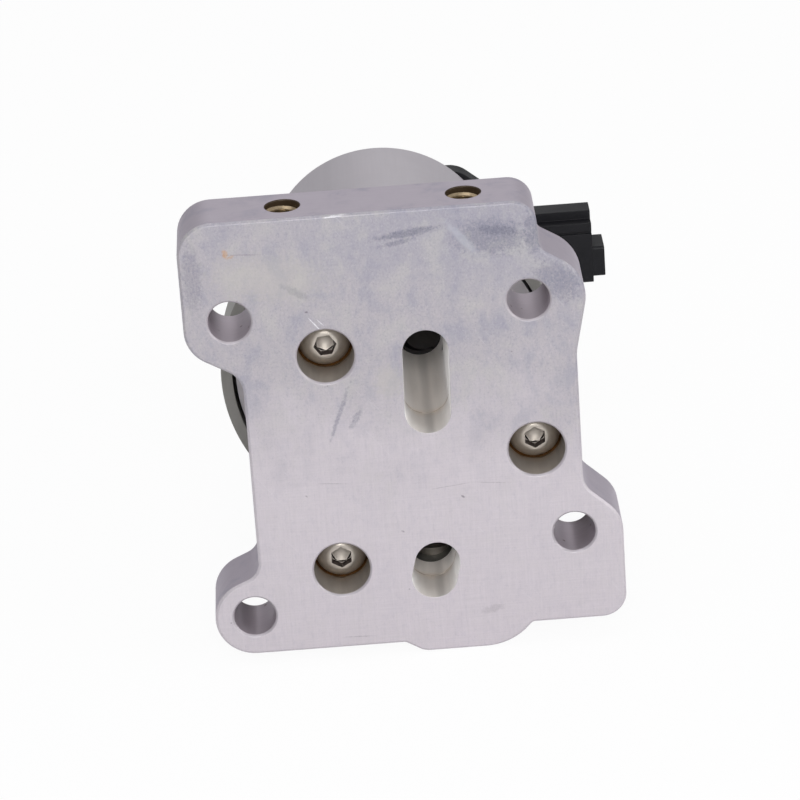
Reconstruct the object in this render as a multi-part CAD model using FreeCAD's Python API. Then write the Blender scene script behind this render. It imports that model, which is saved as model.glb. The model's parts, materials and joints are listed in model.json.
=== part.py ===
# Electric fuel transfer pump: a machined mounting plate, a ported pump head, a lobed rotor pump
# and a brushed motor in a steel can, closed by a black moulded cap with a plug socket.
# Millimetres. The mounting face lies in the plane y = 0 and faces -Y. The pump axis runs along +Y
# through the origin. +Z is up the plate and +X points at the plug socket.
import FreeCAD, Part
import math
import os

V = FreeCAD.Vector

# Running and seating clearances
fit_gap = 0.02
running_gap = 0.05
tap_gap = 0.05
cap_gap = 0.1
bolt_gap = 0.3

# How far a cutting tool runs past the face it opens, and joined pieces run into each other
over = 1.0
# How near two numbers are taken as the same when an edge is looked up
near = 0.01

# Mounting plate
plate_thickness = 14.0
plate_edge_break = 0.5
plate_left = -41.2
plate_top = 53.5
plate_waist_left = -30.4
plate_waist_right = 36.2
plate_bottom_left = -41.3
plate_bottom_right = -38.8
plate_lobe_bottom = -43.6
# Each corner is x, z and the radius of its arc, listed clockwise from the upper left
plate_corners = [
    (plate_left, plate_top, 7.0),
    (29.4, plate_top, 5.0),
    (29.9, 43.0, 3.0),
    (39.7, 37.0, 9.5),
    (plate_waist_right, 20.3, 12.0),
    (plate_waist_right, -8.9, 5.0),
    (43.8, -16.0, 8.0),
    (43.8, plate_bottom_right, 5.0),
    (24.4, plate_bottom_right, 1.2),
    (20.0, plate_lobe_bottom, 12.0),
    (2.0, plate_lobe_bottom, 4.0),
    (-1.8, plate_bottom_left, 1.0),
    (-40.1, plate_bottom_left, 8.1),
    (-40.1, -27.7, 8.1),
    (plate_waist_left, -23.4, 4.0),
    (plate_waist_left, 20.0, 5.2),
    (plate_left, 26.2, 7.6),
]
mount_hole_radius = 4.25
mount_hole_chamfer = 0.4
mount_holes = [(-32.0, 32.4), (27.2, 32.5), (-32.0, -32.7), (33.9, -19.0)]
top_thread_radius = 3.4
top_thread_depth = 16.0
top_thread_chamfer = 0.2
top_thread_x = [-19.9, 15.8]
# Height of a drilled hole's pointed end, as a share of its radius
drill_point = 0.6

# Pump screws, button head, from the mounting face into the pump head
screw_circle_radius = 27.2
screw_angles = [120.0, 0.0, 240.0]
screw_radius = 3.0
screw_length = 18.0
screw_head_radius = 5.25
screw_head_height = 3.3
screw_head_brim = 0.5
screw_head_flat = 2.6
screw_socket_flats = 4.0
screw_socket_depth = 2.1
screw_turns = [25.0, 0.0, 0.0]
screw_seat_depth = 9.0
counterbore_radius = 5.7
tapped_extra_depth = 4.0

# Fuel ports, both cut with one tool: centres of the two round ends, x and z
port_radius = 4.6
upper_port = [(6.2, 23.0), (5.9, 9.9)]
lower_port = [(5.8, -23.7), (5.0, -26.8)]
spigot_length = 4.2
spigot_wall = 2.2
spigot_gap = 0.12
seal_section_radius = 1.0
seal_pocket_depth = 2.4

# Pump head
head_length = 26.0
head_radius = 30.0
screw_boss_radius = 7.0
screw_boss_setback = 4.0
upper_boss_wall = 6.5
upper_boss_length = 12.0
throat_length = 2.5
gallery_floor = 7.0
gallery_extra_radius = 1.2
valve_block_side_wall = 4.1
valve_block_far_wall = 2.9
valve_block_bottom = -38.0
valve_block_top = -14.0
valve_block_setback = 3.0
valve_block_corner = 3.0

# Valves in the head, both with their bores along Z
valve_depth = 13.0
valve_spacing = 13.0
valve_bore_radius = 5.0
check_x = 5.6
check_seat_top = -14.5
check_seat_height = 3.0
check_hole_radius = 2.6
check_ball_radius = 3.6
relief_top = -15.0
relief_hole_radius = 3.0
relief_piston_length = 8.0
relief_piston_wall = 1.4
relief_piston_crown = 2.5
link_radius = 2.0
link_z = -12.0
return_setback = 3.1
return_spacing = 7.0
return_radius = 1.8
return_branch_radius = 1.5
return_low_z = -18.5
return_high_z = 10.0
plug_length = 7.0
plug_flange_radius = 6.2
plug_flange_height = 2.5
plug_socket_flats = 5.0
plug_socket_depth = 4.0
plug_washer_height = 1.0
plug_washer_setback = 0.2
spring_wire_radius = 0.35
valve_spring_radius = 2.45
check_spring_turns = 6
relief_spring_turns = 8

# Rotor pump
rotor_length = 7.0
rotor_side_gap = 0.03
inner_teeth = 6
outer_lobes = inner_teeth + 1
lobe_circle_radius = 13.0
lobe_radius = 3.8
rotor_offset = 1.5
root_clearance = 0.2
outer_rotor_radius = 16.5
kidney_inner_radius = 8.0
kidney_outer_radius = 12.0
kidney_half_angle = 35.0
kidney_depth = 4.0
shaft_radius = 4.0
shaft_half_flat = 3.2
profile_steps = 180

# Rear cover of the pump
cover_length = 8.0
cover_edge = 3.3
hub_radius = 12.0
hub_length = 8.0
bush_radius = 7.0
bush_length = 7.0
seal_radius = 9.0
seal_length = 4.0
seal_shell = 1.0
seal_lip = 2.0
cover_screw_circle = 24.5
cover_screw_angles = [30.0, 150.0, 210.0, 330.0]
cover_screw_grip = 7.0
small_screw_radius = 2.0
small_head_radius = 3.5
small_head_height = 4.0
small_socket_flats = 3.0
small_tapped_extra = 2.0
small_edge_round = 0.3
dowel_radius = 2.0
dowel_circle = 25.5
dowel_angles = [180.0, 285.0]
dowel_grip = 4.5
dowel_nose = 3.5
dowel_hole_extra = 0.5
flange_seal_circle = 18.5
flange_groove_half = 1.2

# Drive end bell, the flanged steel ring between pump and motor
rim_front_setback = 0.5
rim_gap = 0.7
rim_wall = 2.4
bell_disc_thickness = 3.0
bell_edge_round = 1.2
bell_screw_clearance = 1.0
bell_screw_grip = 4.5
register_height = 2.5
register_wall = 1.7

# Motor can, magnets and clips
can_radius = 25.3
can_wall = 1.6
can_length = 54.5
can_end_roll = 1.5
can_lip = 1.3
magnet_thickness = 6.4
magnet_span = 108.0
magnet_overhang = 5.0
clip_wall = 0.6
clip_setback = 2.0
clip_side_gap = 1.0

# Armature
air_gap = 0.6
core_length = 24.0
core_slots = 12
slot_mouth = 1.6
slot_bore_radius = 2.0
slot_depth = 4.1
slot_wall = 0.15
slot_overhang = 1.5
end_turn_length = 4.2
end_turn_gap = 0.1
end_turn_inner = 6.0
end_turn_roundness = 0.45
end_turn_setback = 1.3
commutator_radius = 9.5
commutator_length = 6.5
commutator_gap = 1.0
commutator_slit = 0.5
commutator_reach = 0.2
sleeve_radius = 6.2
sleeve_end = 0.4
shaft_step_gap = 0.9
rear_journal_radius = 3.0
shaft_nose_gap = 0.4
shaft_tail_gap = 0.2
front_washer_gap = 0.4
front_washer_height = 1.0
rear_washer_height = 0.8
washer_width = 2.2

# Brush gear
brush_half_width = 2.4
brush_length = 7.4
brush_tip_depth = 1.0
brush_clearance = 0.1
brush_gap = 0.06
brush_box_wall = 0.8
brush_box_gap = 1.6
brush_box_sink = 0.2
brush_box_setback = 0.6
brush_spring_radius = 1.5
brush_spring_turns = 4
card_thickness = 1.4
card_setback = 1.1
card_hole_radius = 11.0
pin_slot_before = 0.5
pin_slot_after = 2.5
choke_radius = 2.0
choke_winding = 0.6
choke_bare_end = 1.2
choke_x = 14.6
choke_length = 9.0
choke_drop = 9.0

# End cap and plug socket
cap_disc_length = 4.0
cap_disc_gap = 0.15
cap_root = 0.5
cap_boss_height = 4.5
cap_edge_round = 1.0
cap_seal_radius = 0.8
cap_hub_radius = 8.5
cap_hub_height = 2.0
cap_hub_round = 0.8
cap_bore_floor = 3.0
rear_bush_radius = 6.0
rear_bush_length = 6.0
neck_left = -5.0
neck_top = 17.8
neck_knee_x = 18.6
neck_bend_x = 25.0
neck_bend_rise = 5.3
neck_overhang = 9.5
neck_end_round = 2.0
neck_start_round = 3.0
neck_knee_round = 6.0
neck_bend_round = 5.0
socket_setback = 1.5
socket_thickness = 8.5
socket_top = 7.2
socket_bottom = -9.3
socket_length = 22.0
socket_root = 1.0
socket_edge_round = 0.8
shroud_length = 2.7
shroud_top = -0.75
shroud_bottom = -7.9
shroud_inset = 0.15
shroud_wall = 0.9
shroud_round = 0.7
seam_start = 6.0
seam_width = 0.6
seam_depth = 0.5
seam_drop = 4.0
rebate_height = 2.0
rebate_depth = 2.8
socket_cavity_depth = 14.0
pin_spacing = 3.0
pin_half_width = 0.7
pin_half_thickness = 0.4
pin_tip_setback = 6.5
pin_inner_x = 12.0
pin_jog = 3.0
pin_run_depth = 2.0
pin_foot_sink = 0.2
tie_inset = 2.8
tie_angles = [25.0, 205.0]
tie_radius = 1.75
tie_end_gap = 0.8
tie_hole_floor = 0.4
tie_head_radius = 3.1
tie_head_height = 2.4
tie_head_round = 0.9
tie_slot_half = 0.5
tie_slot_reach = 1.9
tie_slot_depth = 1.4

# Stations along the pump axis, from the mounting face to the plug socket
head_front = plate_thickness
head_rear = head_front + head_length
ring_rear = head_rear + rotor_length
cover_rear = ring_rear + cover_length
hub_rear = cover_rear + hub_length
bell_rear = cover_rear + bell_disc_thickness
can_rear = bell_rear + can_length
cap_disc_rear = can_rear - can_wall
cap_disc_front = cap_disc_rear - cap_disc_length
cap_rear = can_rear + cap_boss_height
card_front = cap_disc_front - card_thickness
commutator_rear = card_front + commutator_reach
commutator_front = commutator_rear - commutator_length
brush_y = (commutator_front + commutator_rear) / 2
core_rear = commutator_front - commutator_gap - end_turn_length
core_front = core_rear - core_length
magnet_front = core_front - magnet_overhang
magnet_rear = core_rear + magnet_overhang
shaft_front = head_rear + shaft_nose_gap
shaft_step = commutator_rear + shaft_step_gap
rear_washer_front = shaft_step + fit_gap
rear_bush_front = rear_washer_front + rear_washer_height + 3 * fit_gap
socket_back = cap_rear - socket_setback
socket_front = socket_back - socket_thickness
socket_middle = (socket_front + socket_back) / 2
valve_y = head_front + valve_depth
return_y = valve_y + return_spacing
small_seat = cover_rear - small_head_height - bolt_gap

# Radii and places that follow from the sizes above
can_inner_radius = can_radius - can_wall
bell_screw_circle = can_radius + small_head_radius + bell_screw_clearance
bell_screw_angles = [60.0, 180.0, 300.0]
cover_radius = bell_screw_circle + cover_edge
rim_radius = cover_radius + rim_gap + rim_wall
magnet_inner_radius = can_inner_radius - magnet_thickness
core_radius = magnet_inner_radius - air_gap
slot_circle = core_radius - slot_depth
end_turn_outer = core_radius - end_turn_setback
card_radius = can_inner_radius - card_setback
brush_box_end = card_radius - brush_box_setback
cap_disc_radius = can_inner_radius - cap_disc_gap
cap_boss_radius = can_inner_radius - can_lip
cap_seal_y = (cap_disc_front + cap_disc_rear) / 2
cap_seal_circle = can_inner_radius - cap_seal_radius - fit_gap
tie_circle = cap_boss_radius - tie_inset
neck_right = can_radius + neck_overhang
socket_right = can_radius + socket_length
socket_mouth = socket_right + shroud_length
relief_x = check_x + valve_spacing
return_x = relief_x - return_setback
spring_seat_z = valve_block_bottom + plug_length
far_out = 3 * can_radius


def polar(radius, degrees):
    """Point at a radius and angle about the pump axis, as x and z."""
    turn = math.radians(degrees)
    return radius * math.cos(turn), radius * math.sin(turn)


def disc(radius, y0, y1, x=0.0, z=0.0):
    return Part.makeCylinder(radius, y1 - y0, V(x, y0, z), V(0, 1, 0))


def tube(outer, inner, y0, y1, x=0.0, z=0.0):
    return disc(outer, y0, y1, x, z).cut(disc(inner, y0 - over, y1 + over, x, z))


def rod_z(radius, z0, z1, x, y):
    return Part.makeCylinder(radius, z1 - z0, V(x, y, z0), V(0, 0, 1))


def rod_x(radius, x0, x1, y, z):
    return Part.makeCylinder(radius, x1 - x0, V(x0, y, z), V(1, 0, 0))


def block(x0, x1, y0, y1, z0, z1):
    return Part.makeBox(x1 - x0, y1 - y0, z1 - z0, V(x0, y0, z0))


def cone(r0, r1, y0, y1, x=0.0, z=0.0):
    return Part.makeCone(r0, r1, y1 - y0, V(x, y0, z), V(0, 1, 0))


def joined(shapes):
    result = shapes[0]
    for shape in shapes[1:]:
        result = result.fuse(shape)
    return result.removeSplitter()


def hexagon_y(flats, y0, y1, x, z):
    """Six-sided prism along Y, with a given distance across its flats."""
    reach = flats / math.sqrt(3)
    points = [V(x + reach * math.cos(math.radians(a)), y0, z + reach * math.sin(math.radians(a)))
              for a in range(30, 391, 60)]
    return Part.Face(Part.makePolygon(points)).extrude(V(0, y1 - y0, 0))


def rounded_prism(corners, y0, y1):
    """Prism along Y from corners given as x, z and the radius of the arc there."""
    count = len(corners)
    starts = []
    ends = []
    middles = []
    for i, (x, z, radius) in enumerate(corners):
        here = V(x, y0, z)
        before = V(corners[i - 1][0], y0, corners[i - 1][1])
        after = V(corners[(i + 1) % count][0], y0, corners[(i + 1) % count][1])
        to_before = (before - here).normalize()
        to_after = (after - here).normalize()
        half = to_before.getAngle(to_after) / 2
        reach = radius / math.tan(half)
        bisector = (to_before + to_after).normalize()
        starts.append(here + to_before * reach)
        ends.append(here + to_after * reach)
        middles.append(here + bisector * (radius / math.sin(half) - radius))
    edges = []
    for i in range(count):
        edges.append(Part.Arc(starts[i], middles[i], ends[i]).toShape())
        edges.append(Part.LineSegment(ends[i], starts[(i + 1) % count]).toShape())
    return Part.Face(Part.Wire(edges)).extrude(V(0, y1 - y0, 0))


def obround_edges(ends, radius, y):
    """Closed outline of a slot with round ends, at a height y."""
    a = V(ends[0][0], y, ends[0][1])
    b = V(ends[1][0], y, ends[1][1])
    along = (b - a).normalize()
    side = V(-along.z, 0, along.x)
    return [
        Part.LineSegment(a + side * radius, b + side * radius).toShape(),
        Part.Arc(b + side * radius, b + along * radius, b - side * radius).toShape(),
        Part.LineSegment(b - side * radius, a - side * radius).toShape(),
        Part.Arc(a - side * radius, a - along * radius, a + side * radius).toShape(),
    ]


def obround(ends, radius, y0, y1):
    return Part.Face(Part.Wire(obround_edges(ends, radius, y0))).extrude(V(0, y1 - y0, 0))


def coil_z(radius, wire, z0, z1, turns, x, y):
    """Round-wire spring along Z that just fills the height from z0 to z1."""
    height = z1 - z0 - 2 * wire
    path = Part.Wire(Part.makeHelix(height / turns, height, radius))
    section = Part.Wire([Part.makeCircle(wire, V(radius, 0, 0), V(0, 1, 0))])
    spring = path.makePipeShell([section], True, True)
    spring.translate(V(x, y, z0 + wire))
    return spring


def socket_screw(radius, length, head_radius, head_height, flats, seat, x, z):
    """Cylinder-head screw along Y, its head towards +Y above the seat."""
    shank = disc(radius, seat - length, seat, x, z)
    head = disc(head_radius, seat, seat + head_height, x, z)
    head = head.makeFillet(small_edge_round, edges_at(head, seat + head_height))
    hexagon = hexagon_y(flats, seat + head_height / 2, seat + head_height + over, x, z)
    return joined([shank, head]).cut(hexagon)


def edges_at(shape, y):
    """Edges that lie wholly in the plane at a height y."""
    return [e for e in shape.Edges if e.BoundBox.YLength < near and abs(e.BoundBox.YMin - y) < near]


def sector(centre_angle, half_angle, y0, y1):
    """Pie slice about the pump axis, wider than anything it is used on."""
    points = [V(0, y0, 0)]
    for angle in (centre_angle - half_angle, centre_angle, centre_angle + half_angle):
        x, z = polar(far_out, angle)
        points.append(V(x, y0, z))
    points.append(points[0])
    return Part.Face(Part.makePolygon(points)).extrude(V(0, y1 - y0, 0))


# Plate

def mounting_plate():
    body = rounded_prism(plate_corners, 0, plate_thickness)
    body = body.makeChamfer(plate_edge_break, edges_at(body, 0) + edges_at(body, plate_thickness))
    for x, z in mount_holes:
        body = body.cut(disc(mount_hole_radius, -over, plate_thickness + over, x, z))
        wide = mount_hole_radius + mount_hole_chamfer
        body = body.cut(cone(wide, mount_hole_radius, 0, mount_hole_chamfer, x, z))
        rear = plate_thickness - mount_hole_chamfer
        body = body.cut(cone(mount_hole_radius, wide, rear, plate_thickness, x, z))
    for angle in screw_angles:
        x, z = polar(screw_circle_radius, angle)
        body = body.cut(disc(counterbore_radius, -over, screw_seat_depth, x, z))
        body = body.cut(disc(screw_radius + bolt_gap, -over, plate_thickness + over, x, z))
        wide = counterbore_radius + mount_hole_chamfer
        body = body.cut(cone(wide, counterbore_radius, 0, mount_hole_chamfer, x, z))
    for ends in (upper_port, lower_port):
        body = body.cut(obround(ends, port_radius, -over, plate_thickness + over))
        pocket = port_radius + spigot_wall + spigot_gap
        body = body.cut(obround(ends, pocket, plate_thickness - spigot_length, plate_thickness + over))
        seal_pocket = port_radius + spigot_wall + 2 * seal_section_radius + 2 * spigot_gap
        pocket_floor = plate_thickness - seal_pocket_depth
        body = body.cut(obround(ends, seal_pocket, pocket_floor, plate_thickness + over))
    y = plate_thickness / 2
    for x in top_thread_x:
        bottom = plate_top - top_thread_depth
        body = body.cut(rod_z(top_thread_radius, bottom, plate_top + over, x, y))
        tip = drill_point * top_thread_radius
        drill_tip = Part.makeCone(0, top_thread_radius, tip, V(x, y, bottom - tip), V(0, 0, 1))
        body = body.cut(drill_tip)
        wide = top_thread_radius + top_thread_chamfer
        mouth = Part.makeCone(top_thread_radius, wide, top_thread_chamfer,
                              V(x, y, plate_top - top_thread_chamfer), V(0, 0, 1))
        body = body.cut(mouth)
    return body


def button_head():
    """Domed head about the pump axis, its seat at the plate's screw seat and its dome towards -Y."""
    top = screw_seat_depth - screw_head_height
    brim = screw_seat_depth - screw_head_brim
    rise = brim - top
    spread = (screw_head_radius ** 2 - screw_head_flat ** 2 - rise ** 2) / (2 * rise)
    dome = math.hypot(screw_head_radius, spread)
    half_turn = (math.atan2(spread, screw_head_radius) + math.atan2(spread + rise, screw_head_flat)) / 2
    edge = V(screw_head_radius, brim, 0)
    crown = V(dome * math.cos(half_turn), brim + spread - dome * math.sin(half_turn), 0)
    rim = V(screw_head_flat, top, 0)
    foot = V(screw_head_radius, screw_seat_depth, 0)
    edges = [
        Part.LineSegment(V(0, screw_seat_depth, 0), foot).toShape(),
        Part.LineSegment(foot, edge).toShape(),
        Part.Arc(edge, crown, rim).toShape(),
        Part.LineSegment(rim, V(0, top, 0)).toShape(),
        Part.LineSegment(V(0, top, 0), V(0, screw_seat_depth, 0)).toShape(),
    ]
    return Part.Face(Part.Wire(edges)).revolve(V(0, 0, 0), V(0, 1, 0), 360)


def pump_screws():
    top = screw_seat_depth - screw_head_height
    floor = top + screw_socket_depth
    screw = joined([disc(screw_radius, screw_seat_depth, screw_seat_depth + screw_length), button_head()])
    screw = screw.cut(hexagon_y(screw_socket_flats, top - over, floor, 0, 0))
    point = drill_point * screw_socket_flats / 2
    screw = screw.cut(cone(screw_socket_flats / 2, 0, floor, floor + point))
    screws = []
    for angle, turn in zip(screw_angles, screw_turns):
        x, z = polar(screw_circle_radius, angle)
        screws.append(screw.rotated(V(0, 0, 0), V(0, 1, 0), turn).translated(V(x, 0, z)))
    return Part.makeCompound(screws)


def port_seal(ends):
    """Rubber ring around one spigot, lying in the plate's seal pocket."""
    y = plate_thickness - seal_section_radius - spigot_gap / 2
    centre_line = port_radius + spigot_wall + seal_section_radius + spigot_gap
    path = Part.Wire(obround_edges(ends, centre_line, y))
    start = path.Edges[0].Vertexes[0].Point
    tangent = path.Edges[0].tangentAt(path.Edges[0].FirstParameter)
    section = Part.Wire([Part.makeCircle(seal_section_radius, start, tangent)])
    return path.makePipeShell([section], True, True)


# Pump head with its ports, galleries and valve bores

def kidney(y0, y1, centre_angle):
    """Curved port slot over the rotor chambers."""
    ring = tube(kidney_outer_radius, kidney_inner_radius, y0, y1)
    return ring.common(sector(centre_angle, kidney_half_angle, y0, y1))


def head_blank():
    pieces = [disc(head_radius, head_front, head_rear)]
    for angle in screw_angles:
        x, z = polar(screw_circle_radius, angle)
        pieces.append(disc(screw_boss_radius, head_front, head_rear - screw_boss_setback, x, z))
    boss_end = head_front + upper_boss_length
    pieces.append(obround(upper_port, port_radius + upper_boss_wall, head_front, boss_end))
    left = check_x - valve_bore_radius - valve_block_side_wall
    right = relief_x + valve_bore_radius + valve_block_far_wall
    corners = [(left, valve_block_top, valve_block_corner),
               (right, valve_block_top, valve_block_corner),
               (right, valve_block_bottom, valve_block_corner),
               (left, valve_block_bottom, valve_block_corner)]
    pieces.append(rounded_prism(corners, head_front, head_rear - valve_block_setback))
    for ends in (upper_port, lower_port):
        pieces.append(obround(ends, port_radius + spigot_wall,
                              head_front - spigot_length + spigot_gap, head_front + over))
    return joined(pieces)


def valve_bores():
    """Everything drilled for the check valve, the relief valve and the return path."""
    check = rod_z(valve_bore_radius, valve_block_bottom - over, check_seat_top, check_x, valve_y)
    feed_top = -kidney_inner_radius - over
    check_feed = rod_z(check_hole_radius, check_seat_top - over, feed_top, check_x, valve_y)
    relief = rod_z(valve_bore_radius, valve_block_bottom - over, relief_top, relief_x, valve_y)
    relief_feed = rod_z(relief_hole_radius, relief_top - over, link_z + over, relief_x, valve_y)
    link = rod_x(link_radius, check_x, relief_x, valve_y, link_z)
    side = disc(return_branch_radius, valve_y, return_y, return_x, return_low_z)
    rise_end = return_high_z + return_radius
    rise = rod_z(return_radius, return_low_z - return_radius, rise_end, return_x, return_y)
    cross = rod_x(return_branch_radius, upper_port[1][0], return_x, return_y, return_high_z)
    return [check, check_feed, relief, relief_feed, link, side, rise, cross]


def pump_head():
    body = head_blank()
    body = body.cut(obround(upper_port, port_radius, 0, head_rear + over))
    throat_end = head_front + throat_length
    body = body.cut(obround(lower_port, port_radius, 0, throat_end + over))
    wide = port_radius + gallery_extra_radius
    body = body.cut(obround(lower_port, wide, throat_end, head_rear - gallery_floor))
    body = body.cut(kidney(head_rear - kidney_depth, head_rear + over, 90.0))
    body = body.cut(kidney(valve_y - check_hole_radius, head_rear + over, 270.0))
    for tool in valve_bores():
        body = body.cut(tool)
    for angle in screw_angles:
        x, z = polar(screw_circle_radius, angle)
        bottom = screw_seat_depth + screw_length + tapped_extra_depth
        body = body.cut(disc(screw_radius + tap_gap, 0, bottom, x, z))
    for angle in cover_screw_angles:
        x, z = polar(cover_screw_circle, angle)
        bottom = head_rear - cover_screw_grip - small_tapped_extra
        body = body.cut(disc(small_screw_radius + tap_gap, bottom, head_rear + over, x, z))
    for angle in dowel_angles:
        x, z = polar(dowel_circle, angle)
        bottom = head_rear - dowel_grip - dowel_hole_extra
        body = body.cut(disc(dowel_radius + fit_gap, bottom, head_rear + over, x, z))
    return body


def check_seat():
    bottom = check_seat_top - check_seat_height
    ring = rod_z(valve_bore_radius - fit_gap, bottom, check_seat_top, check_x, valve_y)
    return ring.cut(rod_z(check_hole_radius, bottom - over, check_seat_top + over, check_x, valve_y))


def check_ball_z():
    """Height of the ball's centre when it closes the seat's lower edge."""
    drop = math.sqrt(check_ball_radius ** 2 - check_hole_radius ** 2)
    return check_seat_top - check_seat_height - drop - running_gap


def check_ball():
    return Part.makeSphere(check_ball_radius, V(check_x, valve_y, check_ball_z()))


def check_spring():
    inner = valve_spring_radius - spring_wire_radius
    touch = check_ball_z() - math.sqrt(check_ball_radius ** 2 - inner ** 2)
    top = touch - spring_wire_radius
    return coil_z(valve_spring_radius, spring_wire_radius, spring_seat_z + running_gap, top,
                  check_spring_turns, check_x, valve_y)


def relief_piston():
    top = relief_top - running_gap
    bottom = top - relief_piston_length
    body = rod_z(valve_bore_radius - running_gap, bottom, top, relief_x, valve_y)
    hollow = valve_bore_radius - running_gap - relief_piston_wall
    return body.cut(rod_z(hollow, bottom - over, top - relief_piston_crown, relief_x, valve_y))


def relief_spring():
    top = relief_top - relief_piston_crown - 2 * running_gap
    return coil_z(valve_spring_radius, spring_wire_radius, spring_seat_z + running_gap, top,
                  relief_spring_turns, relief_x, valve_y)


def valve_plug(x):
    thread = rod_z(valve_bore_radius - tap_gap, valve_block_bottom, spring_seat_z, x, valve_y)
    flange_top = valve_block_bottom - plug_washer_height
    flange = rod_z(plug_flange_radius, flange_top - plug_flange_height, flange_top, x, valve_y)
    neck = rod_z(valve_bore_radius - tap_gap, flange_top, valve_block_bottom, x, valve_y)
    body = joined([thread, neck, flange])
    face = flange_top - plug_flange_height
    socket = hexagon_y(plug_socket_flats, -plug_socket_depth, over, 0, 0)
    socket.rotate(V(0, 0, 0), V(1, 0, 0), -90)
    socket.translate(V(x, valve_y, face))
    return body.cut(socket)


def valve_plugs():
    return Part.makeCompound([valve_plug(check_x), valve_plug(relief_x)])


def plug_washers():
    rings = []
    for x in (check_x, relief_x):
        low = valve_block_bottom - plug_washer_height
        ring = rod_z(plug_flange_radius - plug_washer_setback, low, valve_block_bottom, x, valve_y)
        hole = rod_z(valve_bore_radius + fit_gap, low - over, valve_block_bottom + over, x, valve_y)
        rings.append(ring.cut(hole))
    return Part.makeCompound(rings)


# Rotor pump

def rotor_housing():
    body = disc(head_radius, head_rear, ring_rear)
    bore = outer_rotor_radius + running_gap
    body = body.cut(disc(bore, head_rear - over, ring_rear + over, -rotor_offset, 0))
    for angle in cover_screw_angles:
        x, z = polar(cover_screw_circle, angle)
        body = body.cut(disc(small_screw_radius + bolt_gap, head_rear - over, ring_rear + over, x, z))
    for angle in dowel_angles:
        x, z = polar(dowel_circle, angle)
        body = body.cut(disc(dowel_radius + fit_gap, head_rear - over, ring_rear + over, x, z))
    return body


def outer_rotor():
    y0 = head_rear + rotor_side_gap
    y1 = ring_rear - rotor_side_gap
    body = disc(outer_rotor_radius, y0, y1, -rotor_offset, 0)
    tip = lobe_circle_radius - lobe_radius + rotor_offset
    cavity = disc(tip + rotor_offset + root_clearance, y0 - over, y1 + over, -rotor_offset, 0)
    for i in range(outer_lobes):
        x, z = polar(lobe_circle_radius, 360.0 * i / outer_lobes)
        cavity = cavity.cut(disc(lobe_radius, y0 - 2 * over, y1 + 2 * over, x - rotor_offset, z))
    return body.cut(cavity)


def inner_profile_point(turn):
    """Point of the tooth form that rolls inside the outer rotor's round lobes."""
    ratio = lobe_circle_radius / (rotor_offset * outer_lobes)
    phase = (1 - outer_lobes) * turn
    lean = math.atan2(math.sin(phase), ratio - math.cos(phase))
    offset = lobe_radius + running_gap
    x = lobe_circle_radius * math.cos(turn) - offset * math.cos(turn + lean)
    x = x - rotor_offset * math.cos(outer_lobes * turn)
    z = -lobe_circle_radius * math.sin(turn) + offset * math.sin(turn + lean)
    z = z + rotor_offset * math.sin(outer_lobes * turn)
    return x, z


def flatted_rod(radius, half_flat, y0, y1):
    wide = radius + over
    return disc(radius, y0, y1).common(block(-wide, wide, y0, y1, -half_flat, half_flat))


def inner_rotor():
    y0 = head_rear + rotor_side_gap
    y1 = ring_rear - rotor_side_gap
    points = []
    for i in range(profile_steps):
        x, z = inner_profile_point(2 * math.pi * i / profile_steps)
        points.append(V(x, y0, z))
    curve = Part.BSplineCurve()
    curve.interpolate(Points=points, PeriodicFlag=True)
    body = Part.Face(Part.Wire([curve.toShape()])).extrude(V(0, y1 - y0, 0))
    return body.cut(flatted_rod(shaft_radius + fit_gap, shaft_half_flat + fit_gap, y0 - over, y1 + over))


def rear_cover():
    body = joined([disc(cover_radius, ring_rear, cover_rear), disc(hub_radius, cover_rear, hub_rear)])
    body = body.cut(disc(shaft_radius + bolt_gap, ring_rear - over, hub_rear + over))
    seal_front = hub_rear - seal_length
    body = body.cut(disc(bush_radius + fit_gap, seal_front - bush_length, hub_rear + over))
    body = body.cut(disc(seal_radius + fit_gap, seal_front, hub_rear + over))
    for angle in cover_screw_angles:
        x, z = polar(cover_screw_circle, angle)
        body = body.cut(disc(small_screw_radius + bolt_gap, ring_rear - over, cover_rear + over, x, z))
        body = body.cut(disc(small_head_radius + bolt_gap, small_seat, cover_rear + over, x, z))
    for angle in bell_screw_angles:
        x, z = polar(bell_screw_circle, angle)
        bottom = cover_rear - bell_screw_grip - small_tapped_extra
        body = body.cut(disc(small_screw_radius + tap_gap, bottom, cover_rear + over, x, z))
    for angle in dowel_angles:
        x, z = polar(dowel_circle, angle)
        bottom = ring_rear + dowel_nose + dowel_hole_extra
        body = body.cut(disc(dowel_radius + fit_gap, ring_rear - over, bottom, x, z))
    depth = cover_rear - 2 * seal_section_radius - fit_gap
    outer = flange_seal_circle + flange_groove_half
    inner = flange_seal_circle - flange_groove_half
    return body.cut(tube(outer, inner, depth, cover_rear + over))


def dowel_pins():
    pins = []
    for angle in dowel_angles:
        x, z = polar(dowel_circle, angle)
        pins.append(disc(dowel_radius, head_rear - dowel_grip, ring_rear + dowel_nose, x, z))
    return Part.makeCompound(pins)


def cover_screws():
    length = small_seat - head_rear + cover_screw_grip
    screws = []
    for angle in cover_screw_angles:
        x, z = polar(cover_screw_circle, angle)
        screws.append(socket_screw(small_screw_radius, length, small_head_radius, small_head_height,
                                   small_socket_flats, small_seat, x, z))
    return Part.makeCompound(screws)


def front_bush():
    rear = hub_rear - seal_length
    return tube(bush_radius, shaft_radius + running_gap, rear - bush_length, rear)


def shaft_seal():
    front = hub_rear - seal_length + fit_gap
    rear = hub_rear - bolt_gap
    shell = tube(seal_radius, seal_radius - seal_shell, front, rear)
    web = tube(seal_radius - seal_shell / 2, shaft_radius + seal_lip / 2, front, front + seal_shell)
    lip = tube(shaft_radius + seal_lip, shaft_radius + running_gap, front, rear - seal_shell)
    return joined([shell, web, lip])


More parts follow.
